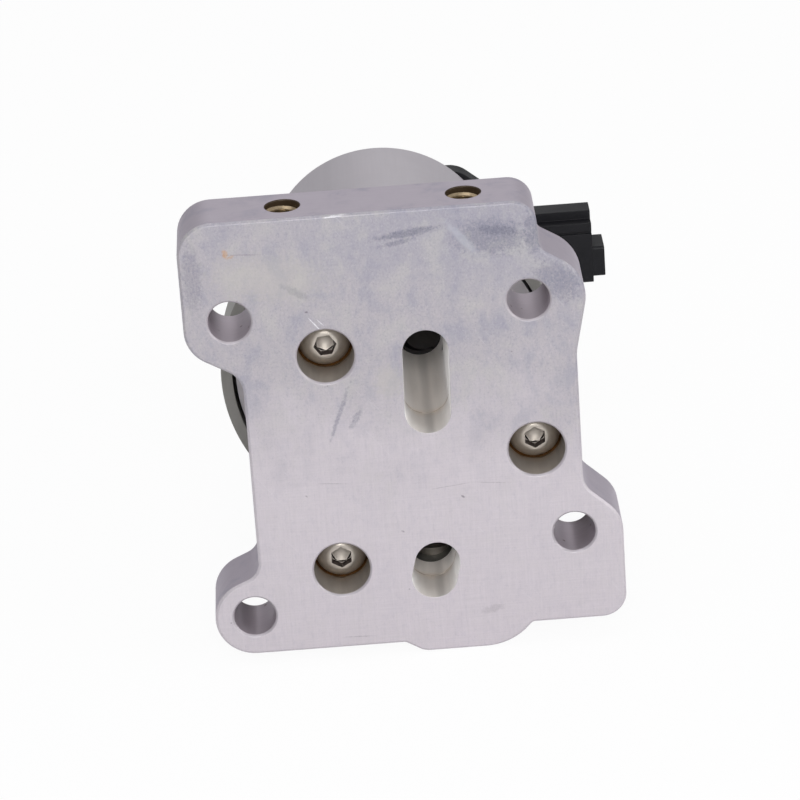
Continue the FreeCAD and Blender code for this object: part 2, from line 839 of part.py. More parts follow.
def flange_seal():
    y = cover_rear - seal_section_radius - fit_gap / 2
    return Part.makeTorus(flange_seal_circle, seal_section_radius - fit_gap / 2, V(0, y, 0), V(0, 1, 0))


# Motor

def drive_end_bell():
    rim = tube(rim_radius, rim_radius - rim_wall, ring_rear - rim_front_setback, cover_rear)
    plate = tube(rim_radius, hub_radius + running_gap, cover_rear, bell_rear)
    register = can_inner_radius - fit_gap
    ring = tube(register, register - register_wall, bell_rear, bell_rear + register_height)
    body = joined([rim, plate, ring])
    edge = [e for e in edges_at(body, bell_rear) if abs(e.BoundBox.XLength - 2 * rim_radius) < near]
    body = body.makeFillet(bell_edge_round, edge)
    for angle in bell_screw_angles:
        x, z = polar(bell_screw_circle, angle)
        body = body.cut(disc(small_screw_radius + bolt_gap, cover_rear - over, bell_rear + over, x, z))
    for angle in tie_angles:
        x, z = polar(tie_circle, angle)
        body = body.cut(disc(tie_radius + tap_gap, cover_rear + tie_hole_floor, bell_rear + over, x, z))
    return body


def bell_screws():
    length = bell_screw_grip + bell_disc_thickness
    screws = []
    for angle in bell_screw_angles:
        x, z = polar(bell_screw_circle, angle)
        screws.append(socket_screw(small_screw_radius, length, small_head_radius, small_head_height,
                                   small_socket_flats, bell_rear, x, z))
    return Part.makeCompound(screws)


def motor_can():
    body = disc(can_radius, bell_rear, can_rear)
    body = body.makeFillet(can_end_roll, edges_at(body, can_rear))
    body = body.cut(disc(can_inner_radius, bell_rear - over, can_rear - can_wall))
    return body.cut(disc(cap_boss_radius + cap_gap, bell_rear - over, can_rear + over))


def magnet(centre_angle):
    """One curved field magnet, held against the inside of the can."""
    ring = tube(can_inner_radius - fit_gap, magnet_inner_radius, magnet_front, magnet_rear)
    return ring.common(sector(centre_angle, magnet_span / 2, magnet_front, magnet_rear))


def magnet_clip(side):
    """Bent spring strip that pushes the two magnets apart on one side."""
    y0 = magnet_front + clip_setback
    y1 = magnet_rear - clip_setback
    outer = can_inner_radius - fit_gap
    ring = tube(outer, outer - clip_wall, y0, y1)
    quarter = 90.0
    return ring.common(sector(side, quarter - magnet_span / 2 - clip_side_gap, y0, y1))


def tie_screws():
    top = cap_rear + tie_head_height
    screws = []
    for angle in tie_angles:
        x, z = polar(tie_circle, angle)
        shank = disc(tie_radius, cover_rear + tie_end_gap, cap_rear, x, z)
        head = disc(tie_head_radius, cap_rear, top, x, z)
        head = head.makeFillet(tie_head_round, edges_at(head, top))
        screw = joined([shank, head])
        for width, height in ((tie_slot_half, tie_slot_reach), (tie_slot_reach, tie_slot_half)):
            slot = block(x - width, x + width, top - tie_slot_depth, top + over, z - height, z + height)
            screw = screw.cut(slot)
        screws.append(screw)
    return Part.makeCompound(screws)


# Armature

def armature_shaft():
    nose = flatted_rod(shaft_radius, shaft_half_flat, shaft_front, ring_rear + bolt_gap)
    main = disc(shaft_radius, ring_rear + bolt_gap, shaft_step)
    tail = disc(rear_journal_radius, shaft_step, cap_rear - cap_bore_floor - shaft_tail_gap)
    return joined([nose, main, tail])


def armature_core():
    body = disc(core_radius, core_front, core_rear)
    body = body.cut(disc(shaft_radius + fit_gap, core_front - over, core_rear + over))
    for i in range(core_slots):
        angle = 360.0 * i / core_slots
        x, z = polar(slot_circle, angle)
        body = body.cut(disc(slot_bore_radius, core_front - over, core_rear + over, x, z))
        mouth = block(slot_circle, core_radius + over, core_front - over, core_rear + over,
                      -slot_mouth / 2, slot_mouth / 2)
        mouth.rotate(V(0, 0, 0), V(0, 1, 0), -angle)
        body = body.cut(mouth)
    return body


def end_turns(y0, y1):
    """Rounded ring of copper wire at one end of the core."""
    round_over = end_turn_roundness * (y1 - y0)
    body = tube(end_turn_outer, end_turn_inner, y0, y1)
    rims = edges_at(body, y0) + edges_at(body, y1)
    edges = [e for e in rims if e.BoundBox.XLength > 2 * end_turn_inner + near]
    return body.makeFillet(round_over, edges)


def armature_windings():
    front = end_turns(core_front - end_turn_length - end_turn_gap, core_front - end_turn_gap)
    rear = end_turns(core_rear + end_turn_gap, core_rear + end_turn_length + end_turn_gap)
    pieces = [front, rear]
    for i in range(core_slots):
        x, z = polar(slot_circle, 360.0 * i / core_slots)
        pieces.append(disc(slot_bore_radius - slot_wall, core_front - slot_overhang,
                           core_rear + slot_overhang, x, z))
    return joined(pieces)


def commutator_sleeve():
    return tube(sleeve_radius, shaft_radius + fit_gap, commutator_front, commutator_rear + sleeve_end)


def commutator():
    """Copper bars round the sleeve, one for each slot of the core."""
    ring = tube(commutator_radius, sleeve_radius + fit_gap, commutator_front, commutator_rear)
    for i in range(core_slots):
        slit = block(sleeve_radius - over, commutator_radius + over, commutator_front - over,
                     commutator_rear + over, -commutator_slit / 2, commutator_slit / 2)
        slit.rotate(V(0, 0, 0), V(0, 1, 0), -360.0 * (i + 0.5) / core_slots)
        ring = ring.cut(slit)
    return ring


def shaft_washers():
    """Fibre washers that take the end play at both bushes."""
    front = hub_rear + front_washer_gap
    first = tube(shaft_radius + washer_width, shaft_radius + fit_gap, front, front + front_washer_height)
    second = tube(rear_journal_radius + washer_width, rear_journal_radius + fit_gap,
                  rear_washer_front, rear_washer_front + rear_washer_height)
    return Part.makeCompound([first, second])


# Brush gear

def brush(side):
    inner = math.sqrt(commutator_radius ** 2 - brush_half_width ** 2) - brush_tip_depth
    z0 = min(side * inner, side * (commutator_radius + brush_length))
    z1 = max(side * inner, side * (commutator_radius + brush_length))
    body = block(-brush_half_width, brush_half_width, brush_y - brush_half_width,
                 brush_y + brush_half_width, z0, z1)
    return body.cut(disc(commutator_radius + brush_gap, commutator_front - over, commutator_rear + over))


def brush_spring(side):
    z0 = commutator_radius + brush_length + running_gap
    z1 = brush_box_end - brush_box_wall - running_gap
    spring = coil_z(brush_spring_radius, spring_wire_radius, z0, z1, brush_spring_turns, 0, brush_y)
    if side < 0:
        spring.rotate(V(0, brush_y, 0), V(1, 0, 0), 180)
    return spring


def brush_box(side):
    half = brush_half_width + brush_clearance
    outer = half + brush_box_wall
    inner_end = commutator_radius + brush_box_gap
    z = sorted((side * inner_end, side * brush_box_end))
    cavity = sorted((side * (inner_end - over), side * (brush_box_end - brush_box_wall)))
    body = block(-outer, outer, brush_y - outer, card_front + brush_box_sink, z[0], z[1])
    return body.cut(block(-half, half, brush_y - half, brush_y + half, cavity[0], cavity[1]))


def brush_holder():
    card = tube(card_radius, card_hole_radius, card_front, cap_disc_front - fit_gap)
    body = joined([card, brush_box(1), brush_box(-1)])
    for angle in tie_angles:
        x, z = polar(tie_circle, angle)
        front = brush_y - brush_half_width - over
        body = body.cut(disc(tie_radius + bolt_gap, front, cap_disc_front + over, x, z))
    for side in (-1, 1):
        half = pin_half_width + running_gap
        z = pin_height(side)
        body = body.cut(block(pin_inner_x - pin_slot_before, pin_inner_x + pin_slot_after, card_front - over,
                              cap_disc_front + over, z - half, z + half))
    return body


def suppression_chokes():
    """Two wound ferrite rods beside the commutator, seated on the card."""
    coil_radius = choke_radius + choke_winding
    y = card_front - coil_radius
    chokes = []
    for x in (-choke_x, choke_x):
        low = -choke_length / 2 - (choke_drop if x > 0 else 0.0)
        rod = rod_z(choke_radius, low, low + choke_length, x, y)
        coil = rod_z(coil_radius, low + choke_bare_end, low + choke_length - choke_bare_end, x, y)
        chokes.append(joined([rod, coil]))
    return Part.makeCompound(chokes)


# End cap and plug socket

def pin_height(side):
    return (shroud_top + shroud_bottom) / 2 + side * pin_spacing / 2


def neck_prism():
    """Web behind the can that carries the plug socket out to the side."""
    low = socket_bottom - (neck_top - socket_top)
    bend_top = socket_top + neck_bend_rise
    bend_low = socket_bottom - neck_bend_rise
    corners = [(neck_left, neck_top, neck_start_round), (neck_knee_x, neck_top, neck_knee_round),
               (neck_bend_x, bend_top, neck_bend_round), (neck_right, socket_top, neck_end_round),
               (neck_right, socket_bottom, neck_end_round), (neck_bend_x, bend_low, neck_bend_round),
               (neck_knee_x, low, neck_knee_round), (neck_left, low, neck_start_round)]
    return rounded_prism(corners, can_rear + bolt_gap, cap_rear)


def long_edges(shape, length):
    """Edges along X that are at least as long as a given length."""
    return [e for e in shape.Edges if e.BoundBox.XLength > length - near]


def socket_block():
    left = can_radius + socket_root
    body = block(left, socket_right, socket_front, socket_back, socket_bottom, socket_top)
    body = body.makeFillet(socket_edge_round, long_edges(body, socket_right - left))
    shroud = block(socket_right - over, socket_mouth, socket_front + shroud_inset, socket_back - shroud_inset,
                   shroud_bottom, shroud_top)
    shroud = shroud.makeFillet(shroud_round, long_edges(shroud, shroud_length + over))
    start = can_radius + seam_start
    seam_top = socket_top - seam_drop
    seam = block(start, socket_right + over, socket_front - over, socket_front + seam_depth,
                 seam_top - seam_width, seam_top)
    rebate = block(start, socket_right + over, socket_front - over, socket_front + rebate_depth,
                   socket_top - rebate_height, socket_top + over)
    return joined([body, shroud]).cut(seam).cut(rebate)


def seal_groove():
    """Ring cut into the rim of the cap's disc."""
    half = cap_seal_radius + fit_gap
    floor = cap_seal_circle - half
    return tube(cap_disc_radius + cap_gap, floor, cap_seal_y - half, cap_seal_y + half)


def end_cap():
    inner = disc(cap_disc_radius, cap_disc_front, cap_disc_rear - fit_gap)
    boss = disc(cap_boss_radius, cap_disc_rear - cap_root, cap_rear)
    boss = boss.makeFillet(cap_edge_round, edges_at(boss, cap_rear))
    hub_top = cap_rear + cap_hub_height
    hub = disc(cap_hub_radius, cap_rear - over, hub_top)
    hub = hub.makeFillet(cap_hub_round, edges_at(hub, hub_top))
    body = joined([inner, boss, neck_prism(), hub, socket_block()]).cut(seal_groove())
    bush_rear = rear_bush_front + rear_bush_length
    body = body.cut(disc(rear_bush_radius + fit_gap, cap_disc_front - over, bush_rear))
    body = body.cut(disc(rear_journal_radius + bolt_gap, cap_disc_front - over, cap_rear - cap_bore_floor))
    half_deep = socket_thickness / 2 - shroud_inset - shroud_wall
    body = body.cut(block(socket_mouth - socket_cavity_depth, socket_mouth + over, socket_middle - half_deep,
                          socket_middle + half_deep, shroud_bottom + shroud_wall, shroud_top - shroud_wall))
    for side in (-1, 1):
        body = body.cut(pin_shape(side, running_gap))
    for angle in tie_angles:
        x, z = polar(tie_circle, angle)
        body = body.cut(disc(tie_radius + bolt_gap, cap_disc_front - over, cap_rear + over, x, z))
    return body


def pin_shape(side, gap):
    """Flat blade from the socket to the card, bent forward at its inner end."""
    z = pin_height(side)
    run_y = can_rear + pin_run_depth
    wide = pin_half_width + gap
    thick = pin_half_thickness + gap
    tip = socket_mouth - pin_tip_setback
    jog_left = can_radius + pin_jog - gap
    jog_right = can_radius + pin_jog + 2 * pin_half_thickness + gap
    low = min(socket_middle, run_y) - thick
    high = max(socket_middle, run_y) + thick
    foot_left = pin_inner_x - gap
    foot_right = pin_inner_x + 2 * pin_half_thickness + gap
    outer = block(jog_left, tip, socket_middle - thick, socket_middle + thick, z - wide, z + wide)
    jog = block(jog_left, jog_right, low, high, z - wide, z + wide)
    inner = block(foot_left, jog_right, run_y - thick, run_y + thick, z - wide, z + wide)
    foot = block(foot_left, foot_right, card_front - pin_foot_sink, run_y + thick, z - wide, z + wide)
    return joined([outer, jog, inner, foot])


def terminal_pins():
    return Part.makeCompound([pin_shape(-1, 0.0), pin_shape(1, 0.0)])


def rear_bush():
    rear = rear_bush_front + rear_bush_length - fit_gap
    return tube(rear_bush_radius, rear_journal_radius + running_gap, rear_bush_front, rear)


def cap_seal():
    """Rubber ring in the groove round the cap's disc, bearing on the inside of the can."""
    return Part.makeTorus(cap_seal_circle, cap_seal_radius, V(0, cap_seal_y, 0), V(0, 1, 0))


parts = {
    "mounting_plate": mounting_plate,
    "pump_screws": pump_screws,
    "upper_port_seal": lambda: port_seal(upper_port),
    "lower_port_seal": lambda: port_seal(lower_port),
    "pump_head": pump_head,
    "check_valve_seat": check_seat,
    "check_valve_ball": check_ball,
    "check_valve_spring": check_spring,
    "relief_piston": relief_piston,
    "relief_spring": relief_spring,
    "valve_plugs": valve_plugs,
    "plug_washers": plug_washers,
    "rotor_housing": rotor_housing,
    "outer_rotor": outer_rotor,
    "inner_rotor": inner_rotor,
    "rear_cover": rear_cover,
    "dowel_pins": dowel_pins,
    "cover_screws": cover_screws,
    "front_bush": front_bush,
    "shaft_seal": shaft_seal,
    "flange_seal": flange_seal,
    "drive_end_bell": drive_end_bell,
    "bell_screws": bell_screws,
    "motor_can": motor_can,
    "upper_magnet": lambda: magnet(90.0),
    "lower_magnet": lambda: magnet(270.0),
    "right_magnet_clip": lambda: magnet_clip(0.0),
    "left_magnet_clip": lambda: magnet_clip(180.0),
    "armature_shaft": armature_shaft,
    "armature_core": armature_core,
    "armature_windings": armature_windings,
    "commutator_sleeve": commutator_sleeve,
    "commutator": commutator,
    "shaft_washers": shaft_washers,
    "brush_holder": brush_holder,
    "upper_brush": lambda: brush(1),
    "lower_brush": lambda: brush(-1),
    "upper_brush_spring": lambda: brush_spring(1),
    "lower_brush_spring": lambda: brush_spring(-1),
    "suppression_chokes": suppression_chokes,
    "end_cap": end_cap,
    "rear_bush": rear_bush,
    "cap_seal": cap_seal,
    "terminal_pins": terminal_pins,
    "tie_screws": tie_screws,
}

os.makedirs("parts", exist_ok=True)
for name, make in parts.items():
    shape = make()
    print(name, "valid", shape.isValid(), "solids", len(shape.Solids), "volume", round(shape.Volume, 1))
    shape.exportStep("parts/" + name + ".step")
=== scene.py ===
# The looks of an electric fuel transfer pump: machined mounting plate, ported head, steel motor
# can and black moulded end cap. Laid out as an add-on and run as a script.
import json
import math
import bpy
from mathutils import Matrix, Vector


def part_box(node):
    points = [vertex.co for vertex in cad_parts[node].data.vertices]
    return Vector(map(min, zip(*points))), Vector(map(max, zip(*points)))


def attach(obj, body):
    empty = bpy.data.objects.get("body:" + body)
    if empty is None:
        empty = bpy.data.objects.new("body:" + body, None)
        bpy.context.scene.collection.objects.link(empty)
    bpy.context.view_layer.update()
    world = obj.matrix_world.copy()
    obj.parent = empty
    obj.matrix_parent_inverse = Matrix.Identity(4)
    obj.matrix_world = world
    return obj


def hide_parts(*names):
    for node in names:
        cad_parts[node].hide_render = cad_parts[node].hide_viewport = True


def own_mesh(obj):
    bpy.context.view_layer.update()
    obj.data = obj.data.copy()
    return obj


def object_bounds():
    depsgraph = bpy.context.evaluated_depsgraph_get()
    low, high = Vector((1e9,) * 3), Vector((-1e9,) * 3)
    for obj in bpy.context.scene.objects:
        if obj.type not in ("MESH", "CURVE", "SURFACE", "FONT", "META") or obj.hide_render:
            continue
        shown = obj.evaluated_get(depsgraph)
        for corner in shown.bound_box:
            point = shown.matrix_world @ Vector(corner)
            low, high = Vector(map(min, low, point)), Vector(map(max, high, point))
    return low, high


bl_info = {
    "name": "Fuel transfer pump",
    "version": (1, 0, 0),
    "blender": (4, 5, 0),
    "location": "3D View > Sidebar > Pump",
    "description": "Builds the finished surfaces of a fuel transfer pump around its construction model",
    "category": "Object",
}

import bmesh
import bpy
from bpy.props import FloatProperty, FloatVectorProperty, IntProperty, PointerProperty
from mathutils import Matrix, Vector

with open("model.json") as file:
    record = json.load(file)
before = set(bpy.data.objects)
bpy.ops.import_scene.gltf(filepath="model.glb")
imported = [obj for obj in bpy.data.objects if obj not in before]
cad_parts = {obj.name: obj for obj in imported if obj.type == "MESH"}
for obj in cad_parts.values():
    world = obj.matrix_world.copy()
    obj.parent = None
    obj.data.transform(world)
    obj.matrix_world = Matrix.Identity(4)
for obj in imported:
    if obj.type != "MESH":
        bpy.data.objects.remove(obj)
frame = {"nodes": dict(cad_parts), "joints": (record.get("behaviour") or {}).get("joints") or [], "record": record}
cad_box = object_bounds()

MM = 0.001
WELD = 0.002 * MM
FLAT_ANGLE = math.radians(0.4)
SHARP_ANGLE = math.radians(32)
RING_STEPS = 96

# Places on the pump, in metres, as the construction has them
PLATE_THICKNESS = 14.0 * MM
SCREW_CIRCLE = 27.2 * MM
SCREW_ANGLES = (120.0, 0.0, 240.0)
SCREW_SEAT_Y = 9.0 * MM
SOCKET_REACH = 2.61 * MM
COUNTERBORE_RADIUS = 5.7 * MM
PORT_RADIUS = 4.6 * MM
UPPER_PORT = (Vector((6.2 * MM, 0, 23.0 * MM)), Vector((5.9 * MM, 0, 9.9 * MM)))
LOWER_PORT = (Vector((5.8 * MM, 0, -23.7 * MM)), Vector((5.0 * MM, 0, -26.8 * MM)))
HEAD_JOINT_Y = 9.9 * MM
HEAD_PORT_END_Y = 39.9 * MM
HEAD_SIDE_RADIUS = 29.0 * MM

# Reaches used to tell the faces of a piece apart
SKIN = 0.05 * MM
RIM_DEPTH = 0.5 * MM
THREAD_REACH = 10.0 * MM

# The brown film round a screw's seat, as radius and height above the seat in millimetres
FILM_PROFILE = ((5.27, 0.02), (5.69, 0.02), (5.69, 0.62), (5.48, 0.34))

# The stage, in metres
FLOOR_REACH = 6.0
FLOOR_GAP = 0.2 * MM
FLOOR_WHITE = 0.94
ROOM_LIGHT = 0.45


def linear(red, green, blue):
    """A colour given in display steps from 0 to 255, as scene values."""
    values = [v / 255 for v in (red, green, blue)]
    return tuple(v / 12.92 if v <= 0.04045 else ((v + 0.055) / 1.055) ** 2.4 for v in values) + (1.0,)


def mounts(kind):
    """The record's mounts of one kind, each as its place and its radius in metres."""
    found = [m for m in frame["record"]["mounts"] if m["kind"] == kind]
    return [(Vector(m["pos_m"]), m["dims"]["r_mm"] * MM) for m in found]


def colour(name, what, default):
    return FloatVectorProperty(name=name, description=what, subtype="COLOR", size=4, min=0, max=1,
                               default=default)


def length(name, what, default):
    return FloatProperty(name=name, description=what, unit="LENGTH", precision=5, default=default)


class PumpColours(bpy.types.PropertyGroup):
    """Colours of the pump's surfaces."""
    # The lower and upper plate colours are the ends of a painted reflection: lighter low, darker high on the plate
    plate_low: colour("Plate, lower part", "Machined aluminium low on the plate, lighter as a painted reflection", linear(207, 200, 205))
    plate_high: colour("Plate, upper part", "Machined aluminium high on the plate, darker as a painted reflection", linear(180, 175, 180))
    plate_edge: colour("Plate edges", "Milled edges of the plate", linear(184, 176, 186))
    cool_stain: colour("Cool stain", "Bluish oxide patches on the plate", linear(146, 147, 164))
    warm_stain: colour("Warm stain", "Faint yellow patches on the plate", linear(190, 188, 184))
    bore: colour("Bores", "Drilled walls of the mounting holes", linear(188, 178, 186))
    port: colour("Port walls", "Milled walls of the fuel ports", linear(236, 229, 222))
    varnish: colour("Varnish", "Brown film that dried fuel leaves", linear(104, 68, 28))
    thread: colour("Thread", "Oiled threads in the plate's edge", linear(206, 184, 150))
    head: colour("Head", "Machined aluminium of the pump head", linear(188, 184, 186))
    can: colour("Can", "Plated sheet steel of the motor", linear(196, 191, 196))
    bell: colour("Drive end bell", "Grey green plating of the bell", linear(150, 148, 143))
    screw: colour("Screws", "Bright plated screw steel", linear(196, 188, 178))
    plastic: colour("Cap", "Black glass-filled plastic", linear(16, 16, 20))
    rubber: colour("Seals", "Black rubber", linear(30, 30, 31))
    floor: colour("Floor", "Pale floor under the pump", linear(250, 250, 251))


class PumpSizes(bpy.types.PropertyGroup):
    """Sizes of the finish that the construction doesn't hold."""
    edge_round: length("Edge round", "Softened width of machined edges", 0.12 * MM)
    mould_round: length("Mould round", "Softened width of moulded edges", 0.12 * MM)
    thread_pitch: length("Thread pitch", "Rise of one turn of the edge threads", 1.25 * MM)
    thread_depth: length("Thread depth", "Height of the thread's ridge", 0.5 * MM)
    thread_turns: IntProperty(name="Thread turns", description="Turns modelled from the mouth", default=7)


class PumpCamera(bpy.types.PropertyGroup):
    """Where the picture is taken from."""
    target: FloatVectorProperty(name="Target", description="Point at the middle of the picture",
                                subtype="XYZ", unit="LENGTH", default=(0.491 * MM, 0, 13.0 * MM))
    distance: length("Distance", "From the target to the camera", 817.48 * MM)
    elevation: FloatProperty(name="Elevation", description="Angle above the horizon", subtype="ANGLE",
                             default=math.radians(23.944))
    azimuth: FloatProperty(name="Azimuth", description="Angle round the pump", subtype="ANGLE",
                           default=math.radians(-0.717))
    roll: FloatProperty(name="Roll", description="Turn of the camera about its own line of sight",
                        subtype="ANGLE", default=math.radians(-4.034))
    lens: FloatProperty(name="Lens", description="Focal length", subtype="DISTANCE_CAMERA", default=184.75)


# Materials

# Marks on the plate's face: stuff, x and z of the middle, half length, half width (mm), angle, strength
FACE_MARKS = (
    ("oxide", 4.1, 48.5, 7.0, 0.9, 7, 0.55),
    ("oxide", 2.0, 46.6, 4.0, 0.6, 12, 0.4),
    ("oxide", 20.3, 46.4, 8.5, 4.2, -5, 0.4),
    ("oxide", 22.0, 47.6, 4.5, 1.2, -9, 0.45),
    ("oxide", 29.2, 47.0, 2.6, 5.5, 0, 0.4),
    ("oxide", 33.0, 36.0, 6.0, 4.0, -35, 0.35),
    ("oxide", -18.6, 37.8, 3.4, 0.9, -31, 0.4),
    ("oxide", -38.6, 42.0, 2.2, 8.0, 0, 0.3),
    ("haze", 14.8, 46.5, 5.0, 1.0, -52, 0.35),
    ("tarnish", -23.0, 41.0, 13.0, 6.0, -8, 0.35),
    ("tarnish", -1.4, 17.0, 3.4, 4.2, 0, 0.4),
    ("rust", -31.7, 46.8, 0.7, 1.3, 12, 0.6),
    ("rust", -30.9, 46.1, 1.1, 0.3, 20, 0.4),
    ("dirt", -16.7, 33.4, 0.3, 0.2, 0, 0.8),
    ("dirt", -28.3, 46.5, 4.2, 0.12, -4, 0.4),
    ("oxide", -11.6, 11.3, 7.0, 0.5, -111, 0.4),
    ("oxide", -8.5, 9.8, 2.8, 0.8, -122, 0.35),
    ("dirt", -14.4, -4.2, 3.2, 0.13, -5, 0.3),
    ("dirt", 9.3, -6.7, 4.9, 0.12, 6, 0.28),
    ("dirt", 17.7, -6.6, 3.8, 0.12, -6, 0.28),
    ("dirt", 11.8, -9.2, 0.5, 0.25, -33, 0.6),
    ("dirt", -19.6, -6.6, 0.35, 0.2, -52, 0.5),
    ("dirt", -0.8, -16.0, 0.4, 0.2, -34, 0.4),
    ("dirt", 16.4, -35.0, 2.6, 0.9, 14, 0.22),
    ("dirt", -11.1, -39.0, 3.6, 0.15, -2, 0.3),
    ("scratch", -15.4, 30.8, 2.0, 0.16, -52, 0.7),
    ("scratch", -14.2, 31.0, 1.2, 0.12, -48, 0.6),
    ("scratch", -9.9, 53.1, 2.2, 0.2, 4, 0.6),
)
MARK_TONES = {
    "oxide": linear(102, 104, 122),
    "haze": linear(196, 198, 208),
    "tarnish": linear(188, 184, 176),
    "rust": linear(192, 148, 104),
    "dirt": linear(110, 102, 112),
    "scratch": linear(238, 238, 240),
}


class Finish:
    """A material being made, with short ways to add its nodes. Patterns are laid out in millimetres."""

    def __init__(self, name):
        self.material = bpy.data.materials.new(name)
        self.material.use_nodes = True
        self.tree = self.material.node_tree
        self.shader = self.tree.nodes["Principled BSDF"]
        self.place = self.add("ShaderNodeTexCoord").outputs["Object"]

    def add(self, kind, **settings):
        made = self.tree.nodes.new(kind)
        for key, value in settings.items():
            setattr(made, key, value)
        return made

    def feed(self, value, socket):
        if isinstance(value, bpy.types.NodeSocket):
            self.tree.links.new(value, socket)
        else:
            socket.default_value = value

    def mapped(self, scale=(1, 1, 1), turn=(0, 0, 0), origin=(0, 0, 0)):
        """Place in millimetres from an origin, along axes that are turned and then stretched."""
        made = self.add("ShaderNodeMapping", vector_type="TEXTURE")
        made.inputs["Location"].default_value = [o * MM for o in origin]
        made.inputs["Rotation"].default_value = [math.radians(a) for a in turn]
        made.inputs["Scale"].default_value = [MM / s for s in scale]
        self.feed(self.place, made.inputs["Vector"])
        return made.outputs["Vector"]

    def blot(self, x, z, long, wide, angle, wobble):
        """1 inside a ragged oval on the plate's face, 0 outside."""
        near = self.mapped((1 / long, 0.001, 1 / wide), (0, -angle, 0), (x, 0, z))
        reach = self.add("ShaderNodeVectorMath", operation="LENGTH")
        self.feed(near, reach.inputs[0])
        return self.window(self.maths("ADD", reach.outputs["Value"], wobble), 1.15, 0.45)

    def noise(self, vector, scale, detail=2.0, roughness=0.5, distortion=0.0):
        made = self.add("ShaderNodeTexNoise")
        self.feed(vector, made.inputs["Vector"])
        made.inputs["Scale"].default_value = scale
        made.inputs["Detail"].default_value = detail
        made.inputs["Roughness"].default_value = roughness
        made.inputs["Distortion"].default_value = distortion
        return made.outputs["Fac"]

    def cells(self, vector, scale):
        made = self.add("ShaderNodeTexVoronoi")
        self.feed(vector, made.inputs["Vector"])
        made.inputs["Scale"].default_value = scale
        return made.outputs["Distance"], made.outputs["Color"]

    def window(self, value, low, high):
        """0 up to low, 1 from high, smooth between; the other way round where low is above high."""
        made = self.add("ShaderNodeMapRange", interpolation_type="SMOOTHSTEP")
        self.feed(value, made.inputs["Value"])
        made.inputs["From Min"].default_value = min(low, high)
        made.inputs["From Max"].default_value = max(low, high)
        made.inputs["To Min"].default_value = 0.0 if low < high else 1.0
        made.inputs["To Max"].default_value = 1.0 if low < high else 0.0
        return made.outputs["Result"]

    def spread(self, value, low, high):
        """Stretches the middle of a noise between two numbers."""
        made = self.add("ShaderNodeMapRange")
        self.feed(value, made.inputs["Value"])
        made.inputs["From Min"].default_value = 0.3
        made.inputs["From Max"].default_value = 0.7
        made.inputs["To Min"].default_value = low
        made.inputs["To Max"].default_value = high
        return made.outputs["Result"]

    def maths(self, kind, first, second):
        made = self.add("ShaderNodeMath", operation=kind)
        self.feed(first, made.inputs[0])
        self.feed(second, made.inputs[1])
        return made.outputs["Value"]

    def times(self, first, *others):
        for other in others:
            first = self.maths("MULTIPLY", first, other)
        return first

    def mix(self, factor, first, second, kind="MIX"):
        made = self.add("ShaderNodeMix", data_type="RGBA", blend_type=kind)
        self.feed(factor, made.inputs[0])
        self.feed(first, made.inputs[6])
        self.feed(second, made.inputs[7])
        return made.outputs[2]

    def axes(self, vector):
        made = self.add("ShaderNodeSeparateXYZ")
        self.feed(vector, made.inputs["Vector"])
        return made.outputs["X"], made.outputs["Y"], made.outputs["Z"]

    def relief(self, height, depth):
        """Bump whose full height is a depth in millimetres."""
        made = self.add("ShaderNodeBump")
        self.feed(height, made.inputs["Height"])
        made.inputs["Distance"].default_value = depth * MM
        return made.outputs["Normal"]

    def done(self, tone, rough, metal=0.0, normal=None, **others):
        self.feed(tone, self.shader.inputs["Base Color"])
        self.feed(rough, self.shader.inputs["Roughness"])
        self.shader.inputs["Metallic"].default_value = metal
        if normal is not None:
            self.feed(normal, self.shader.inputs["Normal"])
        for name, value in others.items():
            self.shader.inputs[name.replace("_", " ")].default_value = value
        return self.material


def scaled(tone, share):
    """A colour made lighter or darker by a share."""
    return tuple(min(1.0, v * share) for v in tone[:3]) + (1.0,)


def scratches(finish, turn, width, seed):
    """Thin straight lines at one angle on the plate's face, gathered in a few places."""
    along = finish.mapped(scale=(0.035, 0.035, 1.6), turn=(0, turn, 0), origin=(seed, 0, seed))
    lines = finish.noise(along, 1.0, 3.0)
    thin = finish.times(finish.window(lines, 0.66 - width, 0.66), finish.window(lines, 0.66 + width, 0.66))
    gather = finish.noise(finish.mapped(origin=(0, 0, seed * 7)), 0.07, 1.0)
    return finish.times(thin, finish.window(gather, 0.5, 0.62))


